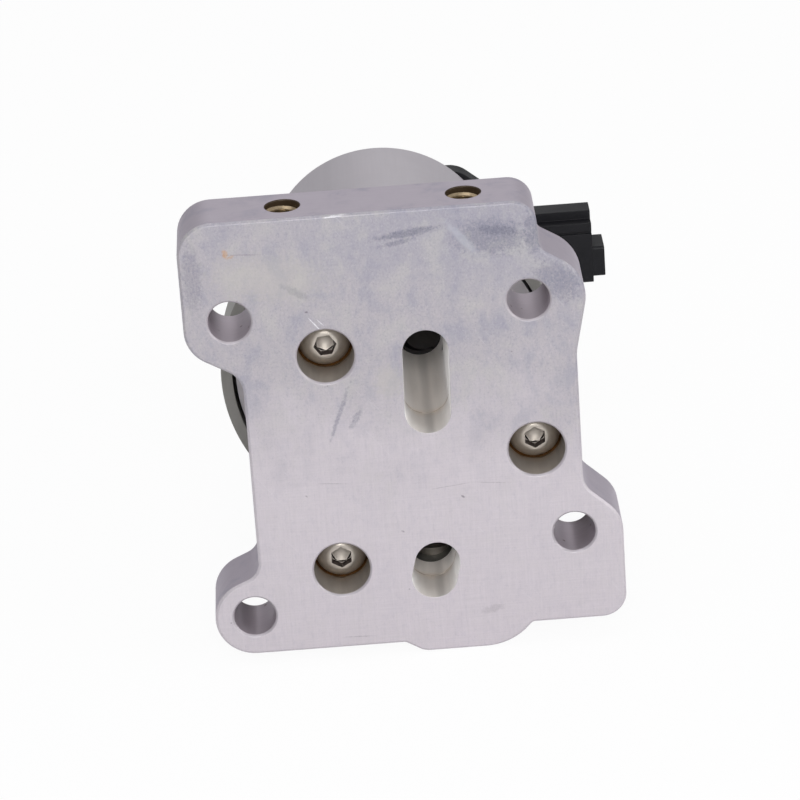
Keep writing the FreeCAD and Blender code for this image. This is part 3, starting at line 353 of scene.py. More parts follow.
def plate_face(tones):
    """Fly-cut aluminium face: brighter low down as a painted reflection, mottled with oxide higher up, and marked
    by handling.
    """
    finish = Finish("Plate face")
    place = finish.mapped()
    x, y, z = finish.axes(place)
    drift = finish.noise(place, 0.05, 3.0, 0.6)
    level = finish.maths("ADD", z, finish.spread(drift, -9.0, 9.0))
    # upper sets the painted reflection, darker high on the plate, and also the share of real stains that gather up
    # high
    upper = finish.window(level, -8.0, 26.0)
    tone = finish.mix(upper, tuple(tones.plate_low), tuple(tones.plate_high))
    corner = finish.window(finish.maths("ADD", level, finish.times(x, 0.35)), 30.0, 56.0)
    tone = finish.mix(finish.times(corner, 0.45), tone, tuple(tones.cool_stain))
    mottle = finish.noise(finish.mapped((1, 1, 0.55)), 0.8, 5.0, 0.7)
    blue = finish.times(finish.window(mottle, 0.5, 0.68), finish.spread(upper, 0.25, 0.6), 0.5)
    tone = finish.mix(blue, tone, tuple(tones.cool_stain))
    olive = finish.times(finish.window(mottle, 0.5, 0.34), finish.spread(upper, 0.2, 0.5), 0.5)
    tone = finish.mix(olive, tone, tuple(tones.warm_stain))
    cloud = finish.noise(finish.mapped((1, 1, 0.7), origin=(5, 0, 3)), 0.16, 5.0, 0.62, 0.3)
    patch_share = finish.maths("ADD", finish.times(upper, 0.42), 0.06)
    cool_patch = finish.times(finish.window(cloud, 0.5, 0.66), patch_share)
    tone = finish.mix(cool_patch, tone, tuple(tones.cool_stain))
    warm_patch = finish.times(finish.window(cloud, 0.5, 0.36), patch_share)
    tone = finish.mix(warm_patch, tone, tuple(tones.warm_stain))
    speckle = finish.noise(finish.mapped((1, 1, 0.8)), 2.4, 4.0, 0.75)
    rough_share = finish.maths("ADD", finish.times(upper, 0.36), 0.12)
    dark_grain = finish.times(finish.window(speckle, 0.5, 0.32), rough_share)
    tone = finish.mix(dark_grain, tone, scaled(tones.cool_stain, 0.8))
    light_grain = finish.times(finish.window(speckle, 0.54, 0.72), rough_share)
    tone = finish.mix(light_grain, tone, scaled(tones.plate_low, 1.05))
    weave = finish.maths("ADD", finish.noise(finish.mapped((0.12, 1, 3.2)), 1.0, 2.0),
                         finish.noise(finish.mapped((3.2, 1, 0.12)), 1.0, 2.0))
    tone = finish.mix(finish.spread(finish.times(weave, 0.5), 0.0, 0.3), tone, scaled(tones.plate_high, 0.86))
    wobble = finish.spread(finish.noise(place, 1.1, 4.0, 0.65), -0.4, 0.4)
    gate = finish.spread(speckle, 1.35, 0.5)
    for stuff, across, up, long, wide, angle, share in FACE_MARKS:
        mark = finish.times(finish.blot(across, up, long, wide, angle, wobble), share, gate)
        tone = finish.mix(mark, tone, MARK_TONES[stuff])
    bright = scratches(finish, 52, 0.012, 3)
    tone = finish.mix(finish.times(bright, 0.16), tone, MARK_TONES["scratch"])
    spot, chance = finish.cells(place, 0.3)
    red = finish.add("ShaderNodeSeparateColor")
    finish.feed(chance, red.inputs[0])
    pit = finish.times(finish.window(spot, 0.07, 0.03), finish.window(red.outputs[0], 0.86, 0.9))
    tone = finish.mix(finish.times(pit, 0.5), tone, MARK_TONES["dirt"])
    grain = finish.maths("ADD", finish.times(weave, 0.5), finish.times(speckle, 0.6))
    return finish.done(tone, finish.spread(mottle, 0.48, 0.58), 0.45, finish.relief(grain, 0.014))


def milled(name, tone, stretch, metal=0.75, rough=0.42, relief=0.01):
    """Machined metal with fine cutting marks; stretch lays the marks along the axes with small numbers."""
    finish = Finish(name)
    marks = finish.noise(finish.mapped(scale=stretch), 1.0, 4.0, 0.65)
    cloud = finish.noise(finish.mapped(), 0.12, 4.0, 0.55)
    shade = finish.mix(finish.spread(marks, 0.0, 0.35), tuple(tone), scaled(tone, 0.82))
    shade = finish.mix(finish.spread(cloud, 0.0, 0.35), shade, scaled(tone, 0.88))
    return finish.done(shade, finish.spread(marks, rough - 0.06, rough + 0.08), metal,
                       finish.relief(marks, relief))


def plate_edge(tones):
    """Side-milled edges: long faint lines around the plate and a little grime."""
    finish = Finish("Plate edge")
    lines = finish.noise(finish.mapped(scale=(0.06, 2.6, 0.06)), 1.0, 4.0, 0.6)
    cloud = finish.noise(finish.mapped(), 0.2, 4.0, 0.6, 0.3)
    tone = finish.mix(finish.spread(lines, 0.0, 0.3), tuple(tones.plate_edge), scaled(tones.plate_edge, 0.84))
    grime = finish.times(finish.window(cloud, 0.5, 0.75), 0.35)
    tone = finish.mix(grime, tone, scaled(tones.cool_stain, 1.05))
    return finish.done(tone, finish.spread(cloud, 0.42, 0.55), 0.5, finish.relief(lines, 0.012))


def bore_wall(tones):
    """Drilled wall: rings from the tool, with a few brown spots."""
    finish = Finish("Bore wall")
    rings = finish.noise(finish.mapped(scale=(0.25, 3.2, 0.25)), 1.0, 3.0)
    spot, chance = finish.cells(finish.mapped(), 0.5)
    red = finish.add("ShaderNodeSeparateColor")
    finish.feed(chance, red.inputs[0])
    fleck = finish.times(finish.window(spot, 0.22, 0.1), finish.window(red.outputs[0], 0.8, 0.85), 0.7)
    tone = finish.mix(finish.spread(rings, 0.0, 0.4), tuple(tones.bore), scaled(tones.bore, 0.8))
    tone = finish.mix(fleck, tone, linear(104, 84, 80))
    return finish.done(tone, 0.42, 0.6, finish.relief(rings, 0.02))


def wet_wall(name, tone, varnish, line_y, strength, metal, dark_reflection=0.0, run=0.0):
    """Bright wall that fuel has run over: soft streaks along Y and a brown tide line. The dark band low in a
    port's middle is a painted reflection of a given share, and run is the share of brown that ran down a port's
    right wall."""
    finish = Finish(name)
    place = finish.mapped()
    x, y, z = finish.axes(place)
    streaks = finish.noise(finish.mapped((1.0, 0.1, 1.0)), 0.55, 3.0, 0.55)
    rings = finish.noise(finish.mapped((0.2, 3.0, 0.2)), 1.0, 3.0)
    wander = finish.noise(place, 0.4, 3.0)
    edge = finish.maths("ADD", y, finish.spread(wander, -0.35, 0.35))
    tide = finish.times(finish.window(edge, line_y - 0.5, line_y), finish.window(edge, line_y + 0.4, line_y))
    fade = finish.times(finish.window(edge, line_y - 3.0, line_y), finish.window(edge, line_y + 2.0, line_y))
    shade = finish.mix(finish.spread(streaks, 0.0, 0.45), tuple(tone), scaled(tone, 0.66))
    shade = finish.mix(finish.times(fade, 0.3 * strength), shade, linear(206, 176, 132))
    shade = finish.mix(finish.times(tide, finish.spread(wander, 0.5, 1.0), strength), shade, tuple(varnish))
    # Painted reflection: a darker band low in the middle of a port wall
    middle = finish.times(finish.window(x, 4.6, 6.0), finish.window(x, 7.6, 6.4))
    band = finish.times(middle, finish.window(z, 9.0, 6.5))
    shade = finish.mix(finish.times(band, dark_reflection), shade, scaled(tone, 0.3))
    side = finish.times(finish.window(x, 9.7, 10.4), finish.window(z, 5.0, 9.0),
                        finish.spread(wander, 0.5, 1.0))
    shade = finish.mix(finish.times(side, run), shade, tuple(varnish))
    return finish.done(shade, finish.spread(streaks, 0.3, 0.42), metal, finish.relief(rings, 0.01),
                       Sheen_Weight=1.0 if run > 0 else 0.0, Sheen_Roughness=0.4)


def varnish_film(tones):
    """Brown film of dried fuel, darker where it is thick."""
    finish = Finish("Fuel varnish")
    thick = finish.noise(finish.mapped(), 0.6, 4.0, 0.6)
    tone = finish.mix(finish.spread(thick, 0.0, 1.0), scaled(tones.varnish, 0.8), scaled(tones.varnish, 0.2))
    return finish.done(tone, 0.32, 0.0, finish.relief(thick, 0.05))


def thread_metal(tones):
    """Crests of an oiled thread: bronze sheen, darker where the oil is thick."""
    finish = Finish("Oiled thread")
    oil = finish.noise(finish.mapped(), 0.9, 3.0)
    tone = finish.mix(finish.spread(oil, 0.0, 0.7), tuple(tones.thread), scaled(tones.thread, 0.35))
    return finish.done(tone, 0.3, 0.6, finish.relief(oil, 0.02))


def plated_screw(tones):
    """Plated screw steel with dull, cloudy places."""
    finish = Finish("Plated screw")
    dull = finish.noise(finish.mapped(), 0.8, 4.0, 0.6)
    tone = finish.mix(finish.spread(dull, 0.0, 0.5), tuple(tones.screw), scaled(tones.screw, 0.76))
    return finish.done(tone, finish.spread(dull, 0.3, 0.44), 0.85, finish.relief(dull, 0.008))


def sheet_steel(name, tone):
    """Drawn and plated sheet steel, satin, with faint drawing lines along the axis."""
    finish = Finish(name)
    drawn = finish.noise(finish.mapped(scale=(1.2, 0.05, 1.2)), 1.0, 4.0, 0.6)
    cloud = finish.noise(finish.mapped(), 0.08, 4.0, 0.6)
    shade = finish.mix(finish.spread(drawn, 0.0, 0.22), tuple(tone), scaled(tone, 0.82))
    shade = finish.mix(finish.spread(cloud, 0.0, 0.3), shade, scaled(tone, 0.9))
    return finish.done(shade, finish.spread(cloud, 0.42, 0.54), 0.4, finish.relief(drawn, 0.008))


def moulded_plastic(tones):
    """Black glass-filled moulding with a fine spark texture and grey bloom."""
    finish = Finish("Moulded plastic")
    spark = finish.noise(finish.mapped(), 3.5, 3.0, 0.7)
    bloom = finish.noise(finish.mapped(), 0.12, 4.0, 0.6)
    tone = finish.mix(finish.spread(bloom, 0.0, 0.5), tuple(tones.plastic), scaled(tones.plastic, 1.5))
    return finish.done(tone, finish.spread(bloom, 0.42, 0.55), 0.0, finish.relief(spark, 0.03),
                       Specular_IOR_Level=0.3)


def plain_finish(name, tone, rough, metal, scale=0.8, depth=0.02, change=0.75):
    """A finish of one stuff: cloudy tone and a fine surface grain."""
    finish = Finish(name)
    cloud = finish.noise(finish.mapped(), scale, 4.0, 0.6)
    shade = finish.mix(finish.spread(cloud, 0.0, 0.6), tuple(tone), scaled(tone, change))
    return finish.done(shade, finish.spread(cloud, rough - 0.05, rough + 0.07), metal,
                       finish.relief(cloud, depth))


def make_finishes(tones):
    """Every finish by the name that the pieces ask for."""
    port_line = HEAD_JOINT_Y / MM
    seat_line = 8.3
    # A lighter copy of the screw tone: a painted highlight for the ring and drill point of each head
    highlight_screw_tone = scaled(tones.screw, 1.1)
    return {
        "plate_face": plate_face(tones),
        "plate_edge": plate_edge(tones),
        "bright_edge": plain_finish("Cut edge", linear(188, 182, 187), 0.45, 0.45, 1.5, 0.005, 0.88),
        "bore": bore_wall(tones),
        "port": wet_wall("Port wall", scaled(tones.port, 0.85), tones.varnish, port_line, 0.8, 0.0,
                         dark_reflection=0.5, run=0.8),
        # The head's port walls take a lighter copy of the port tone: painted light standing in for light deep in
        # the port
        "deep_port": wet_wall("Deep port wall", scaled(tones.port, 1.08), tones.varnish, port_line, 0.8, 0.0,
                              dark_reflection=0.4, run=0.8),
        # Counterbore walls take a darker copy of the port tone, painted shade in the screw recess, with a real
        # fuel tide line
        "counterbore": wet_wall("Counterbore wall", scaled(tones.port, 0.62), tones.varnish, seat_line, 0.9,
                                0.65),
        "thread": thread_metal(tones),
        # Dark brown on the hole wall between the thread's ridges
        "thread_root": plain_finish("Dark brown thread root", linear(66, 52, 36), 0.4, 0.3),
        "varnish": varnish_film(tones),
        "head": milled("Head aluminium", tones.head, (0.3, 2.2, 0.3)),
        "can": sheet_steel("Can steel", tones.can),
        "bell": sheet_steel("Bell plating", tones.bell),
        "screw": plated_screw(tones),
        "bright_screw": plain_finish("Screw steel painted highlight", highlight_screw_tone, 0.5, 0.6, 0.8, 0.006, 0.85),
        # Painted shade for the walls of each hex socket
        "shaded_socket_screw": plain_finish("Screw socket painted shade", linear(62, 48, 46), 0.4, 0.5),
        # Painted shade: a darker copy of the head aluminium for the head's outer side, which lies in the plate's
        # shadow
        "shaded_head_side": plain_finish("Head side painted shade", linear(112, 112, 108), 0.5, 0.5, 0.4),
        "plastic": moulded_plastic(tones),
        "rubber": plain_finish("Seal rubber", tones.rubber, 0.6, 0.0),
        "pump_steel": milled("Ground steel", linear(150, 150, 153), (0.2, 0.2, 3.0), 0.9, 0.3),
        # Rotor steel: dark as sintered steel is, and darker still as painted shade where the rotors close the far
        # end of the ports
        "sintered_steel_and_shade": plain_finish("Sintered steel with painted shade", linear(52, 50, 50), 0.6, 0.3),
        "bronze": plain_finish("Bush bronze", linear(176, 140, 92), 0.4, 0.8),
        "ferrite": plain_finish("Magnet ferrite", linear(62, 62, 66), 0.55, 0.1),
        "spring": plain_finish("Spring wire", linear(168, 168, 172), 0.3, 0.9),
        "copper": plain_finish("Copper", linear(196, 112, 74), 0.32, 0.9),
        "enamel": plain_finish("Enamelled wire", linear(150, 74, 40), 0.3, 0.5, 1.6),
        "core": plain_finish("Core sheets", linear(120, 118, 122), 0.45, 0.7),
        "carbon": plain_finish("Brush carbon", linear(52, 52, 54), 0.5, 0.2),
        "insulator": plain_finish("Brown insulator", linear(122, 72, 48), 0.5, 0.0),
        "tin": plain_finish("Tinned brass", linear(214, 212, 208), 0.28, 0.95),
        "washer": plain_finish("Soft copper", linear(188, 122, 88), 0.38, 0.85),
    }


FINISHES = {}


# Mesh helpers

def merged(node):
    """A copy of a construction node, its points joined and its flat faces made whole."""
    mesh = frame["nodes"][node].data.copy()
    normals = mesh.attributes.get("custom_normal")
    if normals is not None:
        mesh.attributes.remove(normals)
    bm = bmesh.new()
    bm.from_mesh(mesh)
    bpy.data.meshes.remove(mesh)
    bmesh.ops.remove_doubles(bm, verts=bm.verts, dist=WELD)
    bmesh.ops.dissolve_limit(bm, angle_limit=FLAT_ANGLE, use_dissolve_boundaries=False,
                             verts=bm.verts, edges=bm.edges)
    return bm


def piece_from(bm, name, body, finishes, round_width=0.0, replaced=()):
    """A finished piece: smooth with crisp edges, riding on its body."""
    mesh = bpy.data.meshes.new(name)
    bm.to_mesh(mesh)
    bm.free()
    for finish in finishes:
        mesh.materials.append(FINISHES[finish])
    mesh.shade_smooth()
    mesh.set_sharp_from_angle(angle=SHARP_ANGLE)
    piece = bpy.data.objects.new(name, mesh)
    bpy.context.scene.collection.objects.link(piece)
    if round_width > 0:
        rounding = piece.modifiers.new("Edge round", "BEVEL")
        rounding.width = round_width
        rounding.segments = 2
        rounding.limit_method = "ANGLE"
        rounding.angle_limit = SHARP_ANGLE
        rounding.use_clamp_overlap = False
        rounding.harden_normals = True
    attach(piece, body)
    if replaced:
        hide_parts(*replaced)
    return piece


def dressed(node, name, finishes, round_width, sort=None):
    """A construction node's own shape with rounded edges; sort names the finish of each face."""
    bm = merged(node)
    if sort is not None:
        for face in bm.faces:
            face.material_index = finishes.index(sort(face))
    return piece_from(bm, name, "housing", finishes, round_width, (node,))


def painted(finish, *nodes):
    """Construction nodes that stay as they are, in a finish."""
    for node in nodes:
        mesh = frame["nodes"][node].data
        mesh.materials.clear()
        mesh.materials.append(FINISHES[finish])


def turned(bm, profile, centre, axis, out):
    """Spins a closed profile, given as radius and distance along the axis, into a ring."""
    points = [bm.verts.new(centre + out * radius + axis * along) for radius, along in profile]
    edges = [bm.edges.new((points[i - 1], points[i])) for i in range(len(points))]
    bmesh.ops.spin(bm, geom=points + edges, cent=centre, axis=axis, angle=2 * math.pi, steps=RING_STEPS,
                   use_merge=True, use_duplicate=False)
    bmesh.ops.remove_doubles(bm, verts=bm.verts, dist=WELD)
    bmesh.ops.recalc_face_normals(bm, faces=bm.faces)


def polar(radius, degrees):
    """Point on the mounting face at a radius and an angle about the pump axis."""
    turn = math.radians(degrees)
    return Vector((radius * math.cos(turn), 0, radius * math.sin(turn)))


def from_slot(point, ends):
    """Distance from a point to the middle line of a slot, seen along Y."""
    flat = Vector((point.x, 0, point.z))
    along = ends[1] - ends[0]
    share = max(0.0, min(1.0, (flat - ends[0]).dot(along) / along.length_squared))
    return (flat - ends[0] - along * share).length


# Operators

class PUMP_OT_finishes(bpy.types.Operator):
    """Makes the materials"""
    bl_idname = "pump.finishes"
    bl_label = "Finishes"

    def execute(self, context):
        tones = context.scene.pump_colours
        FINISHES.update(make_finishes(tones))
        return {"FINISHED"}


class PUMP_OT_plate(bpy.types.Operator):
    """Mounting plate with its stained face, bored holes and milled edges"""
    bl_idname = "pump.plate"
    bl_label = "Mounting plate"

    def execute(self, context):
        sizes = context.scene.pump_sizes
        dressed("mounting_plate", "machined_plate",
                ("plate_face", "plate_edge", "bore", "port", "counterbore", "thread_root", "bright_edge"),
                sizes.edge_round, plate_zone)
        return {"FINISHED"}


def plate_zone(face):
    """Which of the plate's finishes a face takes."""
    middle = face.calc_center_median()
    flat = Vector((middle.x, 0, middle.z))
    if abs(face.normal.y) > 0.9 and not SKIN <= middle.y <= PLATE_THICKNESS - SKIN:
        return "plate_face"
    rim = middle.y < RIM_DEPTH and face.normal.y < -0.4
    for place, radius in mounts("bore"):
        if (flat - Vector((place.x, 0, place.z))).length < radius + RIM_DEPTH:
            return "bright_edge" if rim else "bore"
    for place, radius in mounts("threaded_hole"):
        beside = Vector((middle.x - place.x, middle.y - place.y)).length
        if beside < radius + 2 * SKIN and middle.z > place.z - THREAD_REACH:
            return "thread_root"
    for ends in (UPPER_PORT, LOWER_PORT):
        if from_slot(middle, ends) < PORT_RADIUS + 5 * MM and 0 < middle.y < PLATE_THICKNESS:
            return "port"
    for angle in SCREW_ANGLES:
        if (flat - polar(SCREW_CIRCLE, angle)).length < COUNTERBORE_RADIUS + RIM_DEPTH:
            return "bright_edge" if rim else "counterbore"
    return "plate_face" if rim else "plate_edge"


class PUMP_OT_edge_threads(bpy.types.Operator):
    """Thread ridges inside the two tapped holes of the plate's top edge"""
    bl_idname = "pump.edge_threads"
    bl_label = "Edge threads"

    def execute(self, context):
        sizes = context.scene.pump_sizes
        bm = bmesh.new()
        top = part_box("mounting_plate")[1].z - 0.3 * MM
        for place, radius in mounts("threaded_hole"):
            thread_ridge(bm, Vector((place.x, place.y, top)), radius, sizes)
        bmesh.ops.recalc_face_normals(bm, faces=bm.faces)
        piece_from(bm, "edge_thread_ridges", "housing", ("thread",))
        return {"FINISHED"}


def thread_ridge(bm, mouth, radius, sizes):
    """One screw thread's ridge, winding down from the mouth of its hole."""
    pitch = sizes.thread_pitch
    crest = radius - sizes.thread_depth
    foot = radius + 0.04 * MM
    section = [(foot, 0.44 * pitch), (crest, 0.07 * pitch), (crest, -0.07 * pitch), (foot, -0.44 * pitch)]
    points = [bm.verts.new(mouth + Vector((r, 0, h - pitch / 2))) for r, h in section]
    edges = [bm.edges.new((points[i - 1], points[i])) for i in range(len(points))]
    steps = 40 * sizes.thread_turns
    drop = pitch * sizes.thread_turns / steps
    made = bmesh.ops.spin(bm, geom=points + edges, cent=mouth, axis=(0, 0, 1), dvec=(0, 0, -drop),
                          angle=-2 * math.pi * sizes.thread_turns, steps=steps, use_merge=False,
                          use_duplicate=False)
    ends = [v for v in made["geom_last"] if isinstance(v, bmesh.types.BMVert)]
    bmesh.ops.contextual_create(bm, geom=points)
    bmesh.ops.contextual_create(bm, geom=ends)


class PUMP_OT_pump_screws(bpy.types.Operator):
    """Three domed screws in the plate, and the brown film that fuel left round their heads"""
    bl_idname = "pump.pump_screws"
    bl_label = "Pump screws"

    def execute(self, context):
        sizes = context.scene.pump_sizes
        dressed("pump_screws", "domed_screws", ("screw", "bright_screw", "shaded_socket_screw"),
                sizes.edge_round / 2, screw_zone)
        bm = bmesh.new()
        profile = [(radius * MM, SCREW_SEAT_Y - height * MM) for radius, height in FILM_PROFILE]
        for angle in SCREW_ANGLES:
            turned(bm, profile, polar(SCREW_CIRCLE, angle), Vector((0, 1, 0)), Vector((1, 0, 0)))
        piece_from(bm, "screw_seat_film", "housing", ("varnish",))
        return {"FINISHED"}


def screw_zone(face):
    """Ring and drill point of a head take a painted highlight, the walls of its socket painted shade."""
    middle = face.calc_center_median()
    flat = Vector((middle.x, 0, middle.z))
    out = min((flat - polar(SCREW_CIRCLE, angle)).length for angle in SCREW_ANGLES)
    if middle.y > SCREW_SEAT_Y or out > SOCKET_REACH:
        return "screw"
    return "shaded_socket_screw" if abs(face.normal.y) < 0.1 else "bright_screw"


class PUMP_OT_head(bpy.types.Operator):
    """Pump head, rotor ring and rear cover"""
    bl_idname = "pump.head"
    bl_label = "Pump head"

    def execute(self, context):
        sizes = context.scene.pump_sizes
        dressed("pump_head", "ported_head", ("head", "deep_port", "shaded_head_side"),
                sizes.edge_round, head_zone)
        dressed("rotor_housing", "rotor_ring", ("head",), sizes.edge_round)
        dressed("rear_cover", "pump_cover", ("head",), sizes.edge_round)
        return {"FINISHED"}


def head_zone(face):
    """Port walls of the head are wet and take a lighter port tone as painted light; its outer side takes painted
    shade.
    """
    middle = face.calc_center_median()
    inside = min(from_slot(middle, UPPER_PORT), from_slot(middle, LOWER_PORT)) < PORT_RADIUS + 2 * SKIN
    if inside and middle.y < HEAD_PORT_END_Y:
        return "deep_port"
    return "shaded_head_side" if math.hypot(middle.x, middle.z) > HEAD_SIDE_RADIUS else "head"


class PUMP_OT_valves(bpy.types.Operator):
    """Valve plugs with their washers, and the valves in the head"""
    bl_idname = "pump.valves"
    bl_label = "Valves"

    def execute(self, context):
        sizes = context.scene.pump_sizes
        dressed("valve_plugs", "socket_plugs", ("screw",), sizes.edge_round)
        dressed("plug_washers", "copper_washers", ("washer",), sizes.edge_round)
        painted("pump_steel", "check_valve_seat", "check_valve_ball", "relief_piston")
        return {"FINISHED"}


class PUMP_OT_springs(bpy.types.Operator):
    """Springs of the valves and brushes, each in its construction shape"""
    bl_idname = "pump.springs"
    bl_label = "Springs"

    def execute(self, context):
        for joint in frame["joints"]:
            for spring in joint.get("deforming_nodes", ()):
                shortening_spring(spring["node"])
        return {"FINISHED"}


def shortening_spring(node):
    """A spring's own shape, in a mesh of its own."""
    piece = dressed(node, node + "_coil", ("spring",), 0)
    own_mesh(piece)


class PUMP_OT_rotors(bpy.types.Operator):
    """Rotors, dowels, bushes and seals of the pump"""
    bl_idname = "pump.rotors"
    bl_label = "Rotors and seals"

    def execute(self, context):
        painted("sintered_steel_and_shade", "inner_rotor", "outer_rotor")
        painted("pump_steel", "dowel_pins", "cover_screws")
        painted("bronze", "front_bush", "rear_bush")
        painted("rubber", "upper_port_seal", "lower_port_seal", "shaft_seal", "flange_seal", "cap_seal")
        return {"FINISHED"}


class PUMP_OT_bell(bpy.types.Operator):
    """Drive end bell and its screws"""
    bl_idname = "pump.bell"
    bl_label = "Drive end bell"

    def execute(self, context):
        sizes = context.scene.pump_sizes
        dressed("drive_end_bell", "plated_bell", ("bell",), sizes.edge_round)
        dressed("bell_screws", "socket_head_screws", ("screw",), sizes.edge_round)
        return {"FINISHED"}


class PUMP_OT_can(bpy.types.Operator):
    """Motor can"""
    bl_idname = "pump.can"
    bl_label = "Motor can"

    def execute(self, context):
        sizes = context.scene.pump_sizes
        dressed("motor_can", "drawn_can", ("can",), sizes.edge_round)
        return {"FINISHED"}


class PUMP_OT_motor(bpy.types.Operator):
    """Magnets, armature and brush gear inside the can"""
    bl_idname = "pump.motor"
    bl_label = "Motor internals"

    def execute(self, context):
        painted("ferrite", "upper_magnet", "lower_magnet")
        painted("spring", "right_magnet_clip", "left_magnet_clip")
        painted("pump_steel", "armature_shaft")
        painted("core", "armature_core")
        painted("enamel", "armature_windings")
        painted("copper", "commutator")
        painted("insulator", "commutator_sleeve", "brush_holder", "shaft_washers")
        painted("carbon", "upper_brush", "lower_brush")
        painted("ferrite", "suppression_chokes")
        return {"FINISHED"}


class PUMP_OT_cap(bpy.types.Operator):
    """Black end cap with its plug socket, pins and tie screws"""
    bl_idname = "pump.cap"
    bl_label = "End cap"

    def execute(self, context):
        sizes = context.scene.pump_sizes
        dressed("end_cap", "moulded_cap", ("plastic",), sizes.mould_round)
        dressed("tie_screws", "cross_head_screws", ("screw",), sizes.edge_round)
        dressed("terminal_pins", "tinned_pins", ("tin",), sizes.edge_round / 2)
        return {"FINISHED"}


class PUMP_OT_stage(bpy.types.Operator):
    """Pale floor, soft lamps, white surroundings and the camera"""
    bl_idname = "pump.stage"
    bl_label = "Stage"

    def execute(self, context):
        tones = context.scene.pump_colours
        pale_floor(tones)
        white_world()
        soft_lamp("Front lamp", Vector((0.03, -1.04, 0.58)), 0.35, 6.0)
        soft_lamp("Top lamp", Vector((-0.3, -0.35, 1.1)), 0.7, 1.6)
        soft_lamp("Side lamp", Vector((0.9, -0.5, 0.35)), 0.6, 3.0)
        soft_lamp("Back lamp", Vector((0.1, 1.0, 0.9)), 0.9, 1.5)
        picture_camera(context.scene.pump_camera)
        return {"FINISHED"}


def seen_directly(tree):
    """1 for rays that come straight from the camera."""
    return tree.nodes.new("ShaderNodeLightPath").outputs["Is Camera Ray"]


def pale_floor(tones):
    """Big flat floor just under the pump; it shows nearly white and keeps a soft shadow."""
    bm = bmesh.new()
    bmesh.ops.create_grid(bm, x_segments=1, y_segments=1, size=FLOOR_REACH)
    under = cad_box[0].z - FLOOR_GAP
    bmesh.ops.translate(bm, verts=bm.verts, vec=(0, 0, under))
    mesh = bpy.data.meshes.new("floor")
    bm.to_mesh(mesh)
    bm.free()
    floor = bpy.data.objects.new("floor", mesh)
    bpy.context.scene.collection.objects.link(floor)
    material = bpy.data.materials.new("Pale floor")
    material.use_nodes = True
    tree = material.node_tree
    shader = tree.nodes["Principled BSDF"]
    shader.inputs["Base Color"].default_value = tones.floor
    shader.inputs["Roughness"].default_value = 0.9
    glow = tree.nodes.new("ShaderNodeEmission")
    glow.inputs["Color"].default_value = (1, 1, 1, 1)
    share = tree.nodes.new("ShaderNodeMath")
    share.operation = "MULTIPLY"
    tree.links.new(seen_directly(tree), share.inputs[0])
    share.inputs[1].default_value = FLOOR_WHITE
    blend = tree.nodes.new("ShaderNodeMixShader")
    tree.links.new(share.outputs[0], blend.inputs["Fac"])
    tree.links.new(shader.outputs["BSDF"], blend.inputs[1])
    tree.links.new(glow.outputs["Emission"], blend.inputs[2])
    tree.links.new(blend.outputs["Shader"], tree.nodes["Material Output"].inputs["Surface"])
    mesh.materials.append(material)


def white_world():
    """Surroundings that light softly and show white behind the pump."""
    world = bpy.data.worlds.new("Soft white room")
    world.use_nodes = True
    tree = world.node_tree
    light = tree.nodes["Background"]
    light.inputs["Color"].default_value = (0.97, 0.97, 1.0, 1)
    light.inputs["Strength"].default_value = ROOM_LIGHT
    white = tree.nodes.new("ShaderNodeBackground")
    white.inputs["Color"].default_value = (1, 1, 1, 1)
    white.inputs["Strength"].default_value = 1.0
    blend = tree.nodes.new("ShaderNodeMixShader")
    tree.links.new(seen_directly(tree), blend.inputs["Fac"])
    tree.links.new(light.outputs["Background"], blend.inputs[1])
    tree.links.new(white.outputs["Background"], blend.inputs[2])
    tree.links.new(blend.outputs["Shader"], tree.nodes["World Output"].inputs["Surface"])
    bpy.context.scene.world = world


def soft_lamp(name, place, size, power):
    """Square area lamp that looks at the pump."""
    lamp = bpy.data.lights.new(name, "AREA")
    lamp.size = size
    lamp.energy = power
    holder = bpy.data.objects.new(name, lamp)
    holder.location = place
    holder.rotation_euler = (-place).to_track_quat("-Z", "Y").to_euler()
    bpy.context.scene.collection.objects.link(holder)


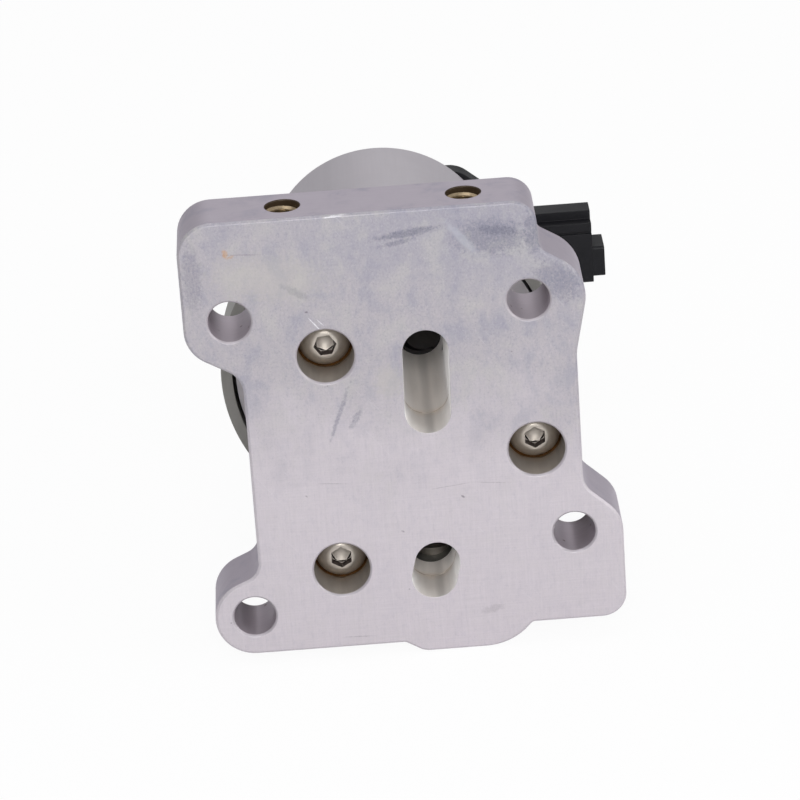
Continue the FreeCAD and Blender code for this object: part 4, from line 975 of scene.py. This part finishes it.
def picture_camera(view):
    """Camera at the picture's angle, rolled a little about its line of sight."""
    back = Vector((math.sin(view.azimuth) * math.cos(view.elevation),
                   -math.cos(view.azimuth) * math.cos(view.elevation), math.sin(view.elevation)))
    data = bpy.data.cameras.new("Camera")
    data.sensor_width = 36.0
    data.lens = view.lens
    data.clip_start = 0.01
    data.clip_end = 50.0
    camera = bpy.data.objects.new("Camera", data)
    turn = (-back).to_track_quat("-Z", "Y").to_matrix().to_4x4() @ Matrix.Rotation(view.roll, 4, "Z")
    camera.matrix_world = Matrix.Translation(Vector(view.target) + back * view.distance) @ turn
    bpy.context.scene.collection.objects.link(camera)
    bpy.context.scene.camera = camera


class PUMP_PT_panel(bpy.types.Panel):
    """Lists the pump's operators"""
    bl_idname = "PUMP_PT_panel"
    bl_label = "Fuel transfer pump"
    bl_space_type = "VIEW_3D"
    bl_region_type = "UI"
    bl_category = "Pump"

    def draw(self, context):
        for operator in OPERATORS:
            self.layout.operator(operator.bl_idname)


GROUPS = (PumpColours, PumpSizes, PumpCamera)
OPERATORS = (PUMP_OT_finishes, PUMP_OT_plate, PUMP_OT_edge_threads, PUMP_OT_pump_screws, PUMP_OT_head,
             PUMP_OT_valves, PUMP_OT_springs, PUMP_OT_rotors, PUMP_OT_bell, PUMP_OT_can, PUMP_OT_motor,
             PUMP_OT_cap, PUMP_OT_stage)
CLASSES = GROUPS + OPERATORS + (PUMP_PT_panel,)


def register():
    for made in CLASSES:
        bpy.utils.register_class(made)
    bpy.types.Scene.pump_colours = PointerProperty(type=PumpColours)
    bpy.types.Scene.pump_sizes = PointerProperty(type=PumpSizes)
    bpy.types.Scene.pump_camera = PointerProperty(type=PumpCamera)


def unregister():
    del bpy.types.Scene.pump_camera
    del bpy.types.Scene.pump_sizes
    del bpy.types.Scene.pump_colours
    for made in reversed(CLASSES):
        bpy.utils.unregister_class(made)


def main():
    register()
    bpy.context.scene.view_settings.view_transform = "Standard"
    bpy.ops.pump.finishes()
    bpy.ops.pump.plate()
    bpy.ops.pump.edge_threads()
    bpy.ops.pump.pump_screws()
    bpy.ops.pump.head()
    bpy.ops.pump.valves()
    bpy.ops.pump.springs()
    bpy.ops.pump.rotors()
    bpy.ops.pump.bell()
    bpy.ops.pump.can()
    bpy.ops.pump.motor()
    bpy.ops.pump.cap()
    bpy.ops.pump.stage()


if __name__ == "__main__":
    main()
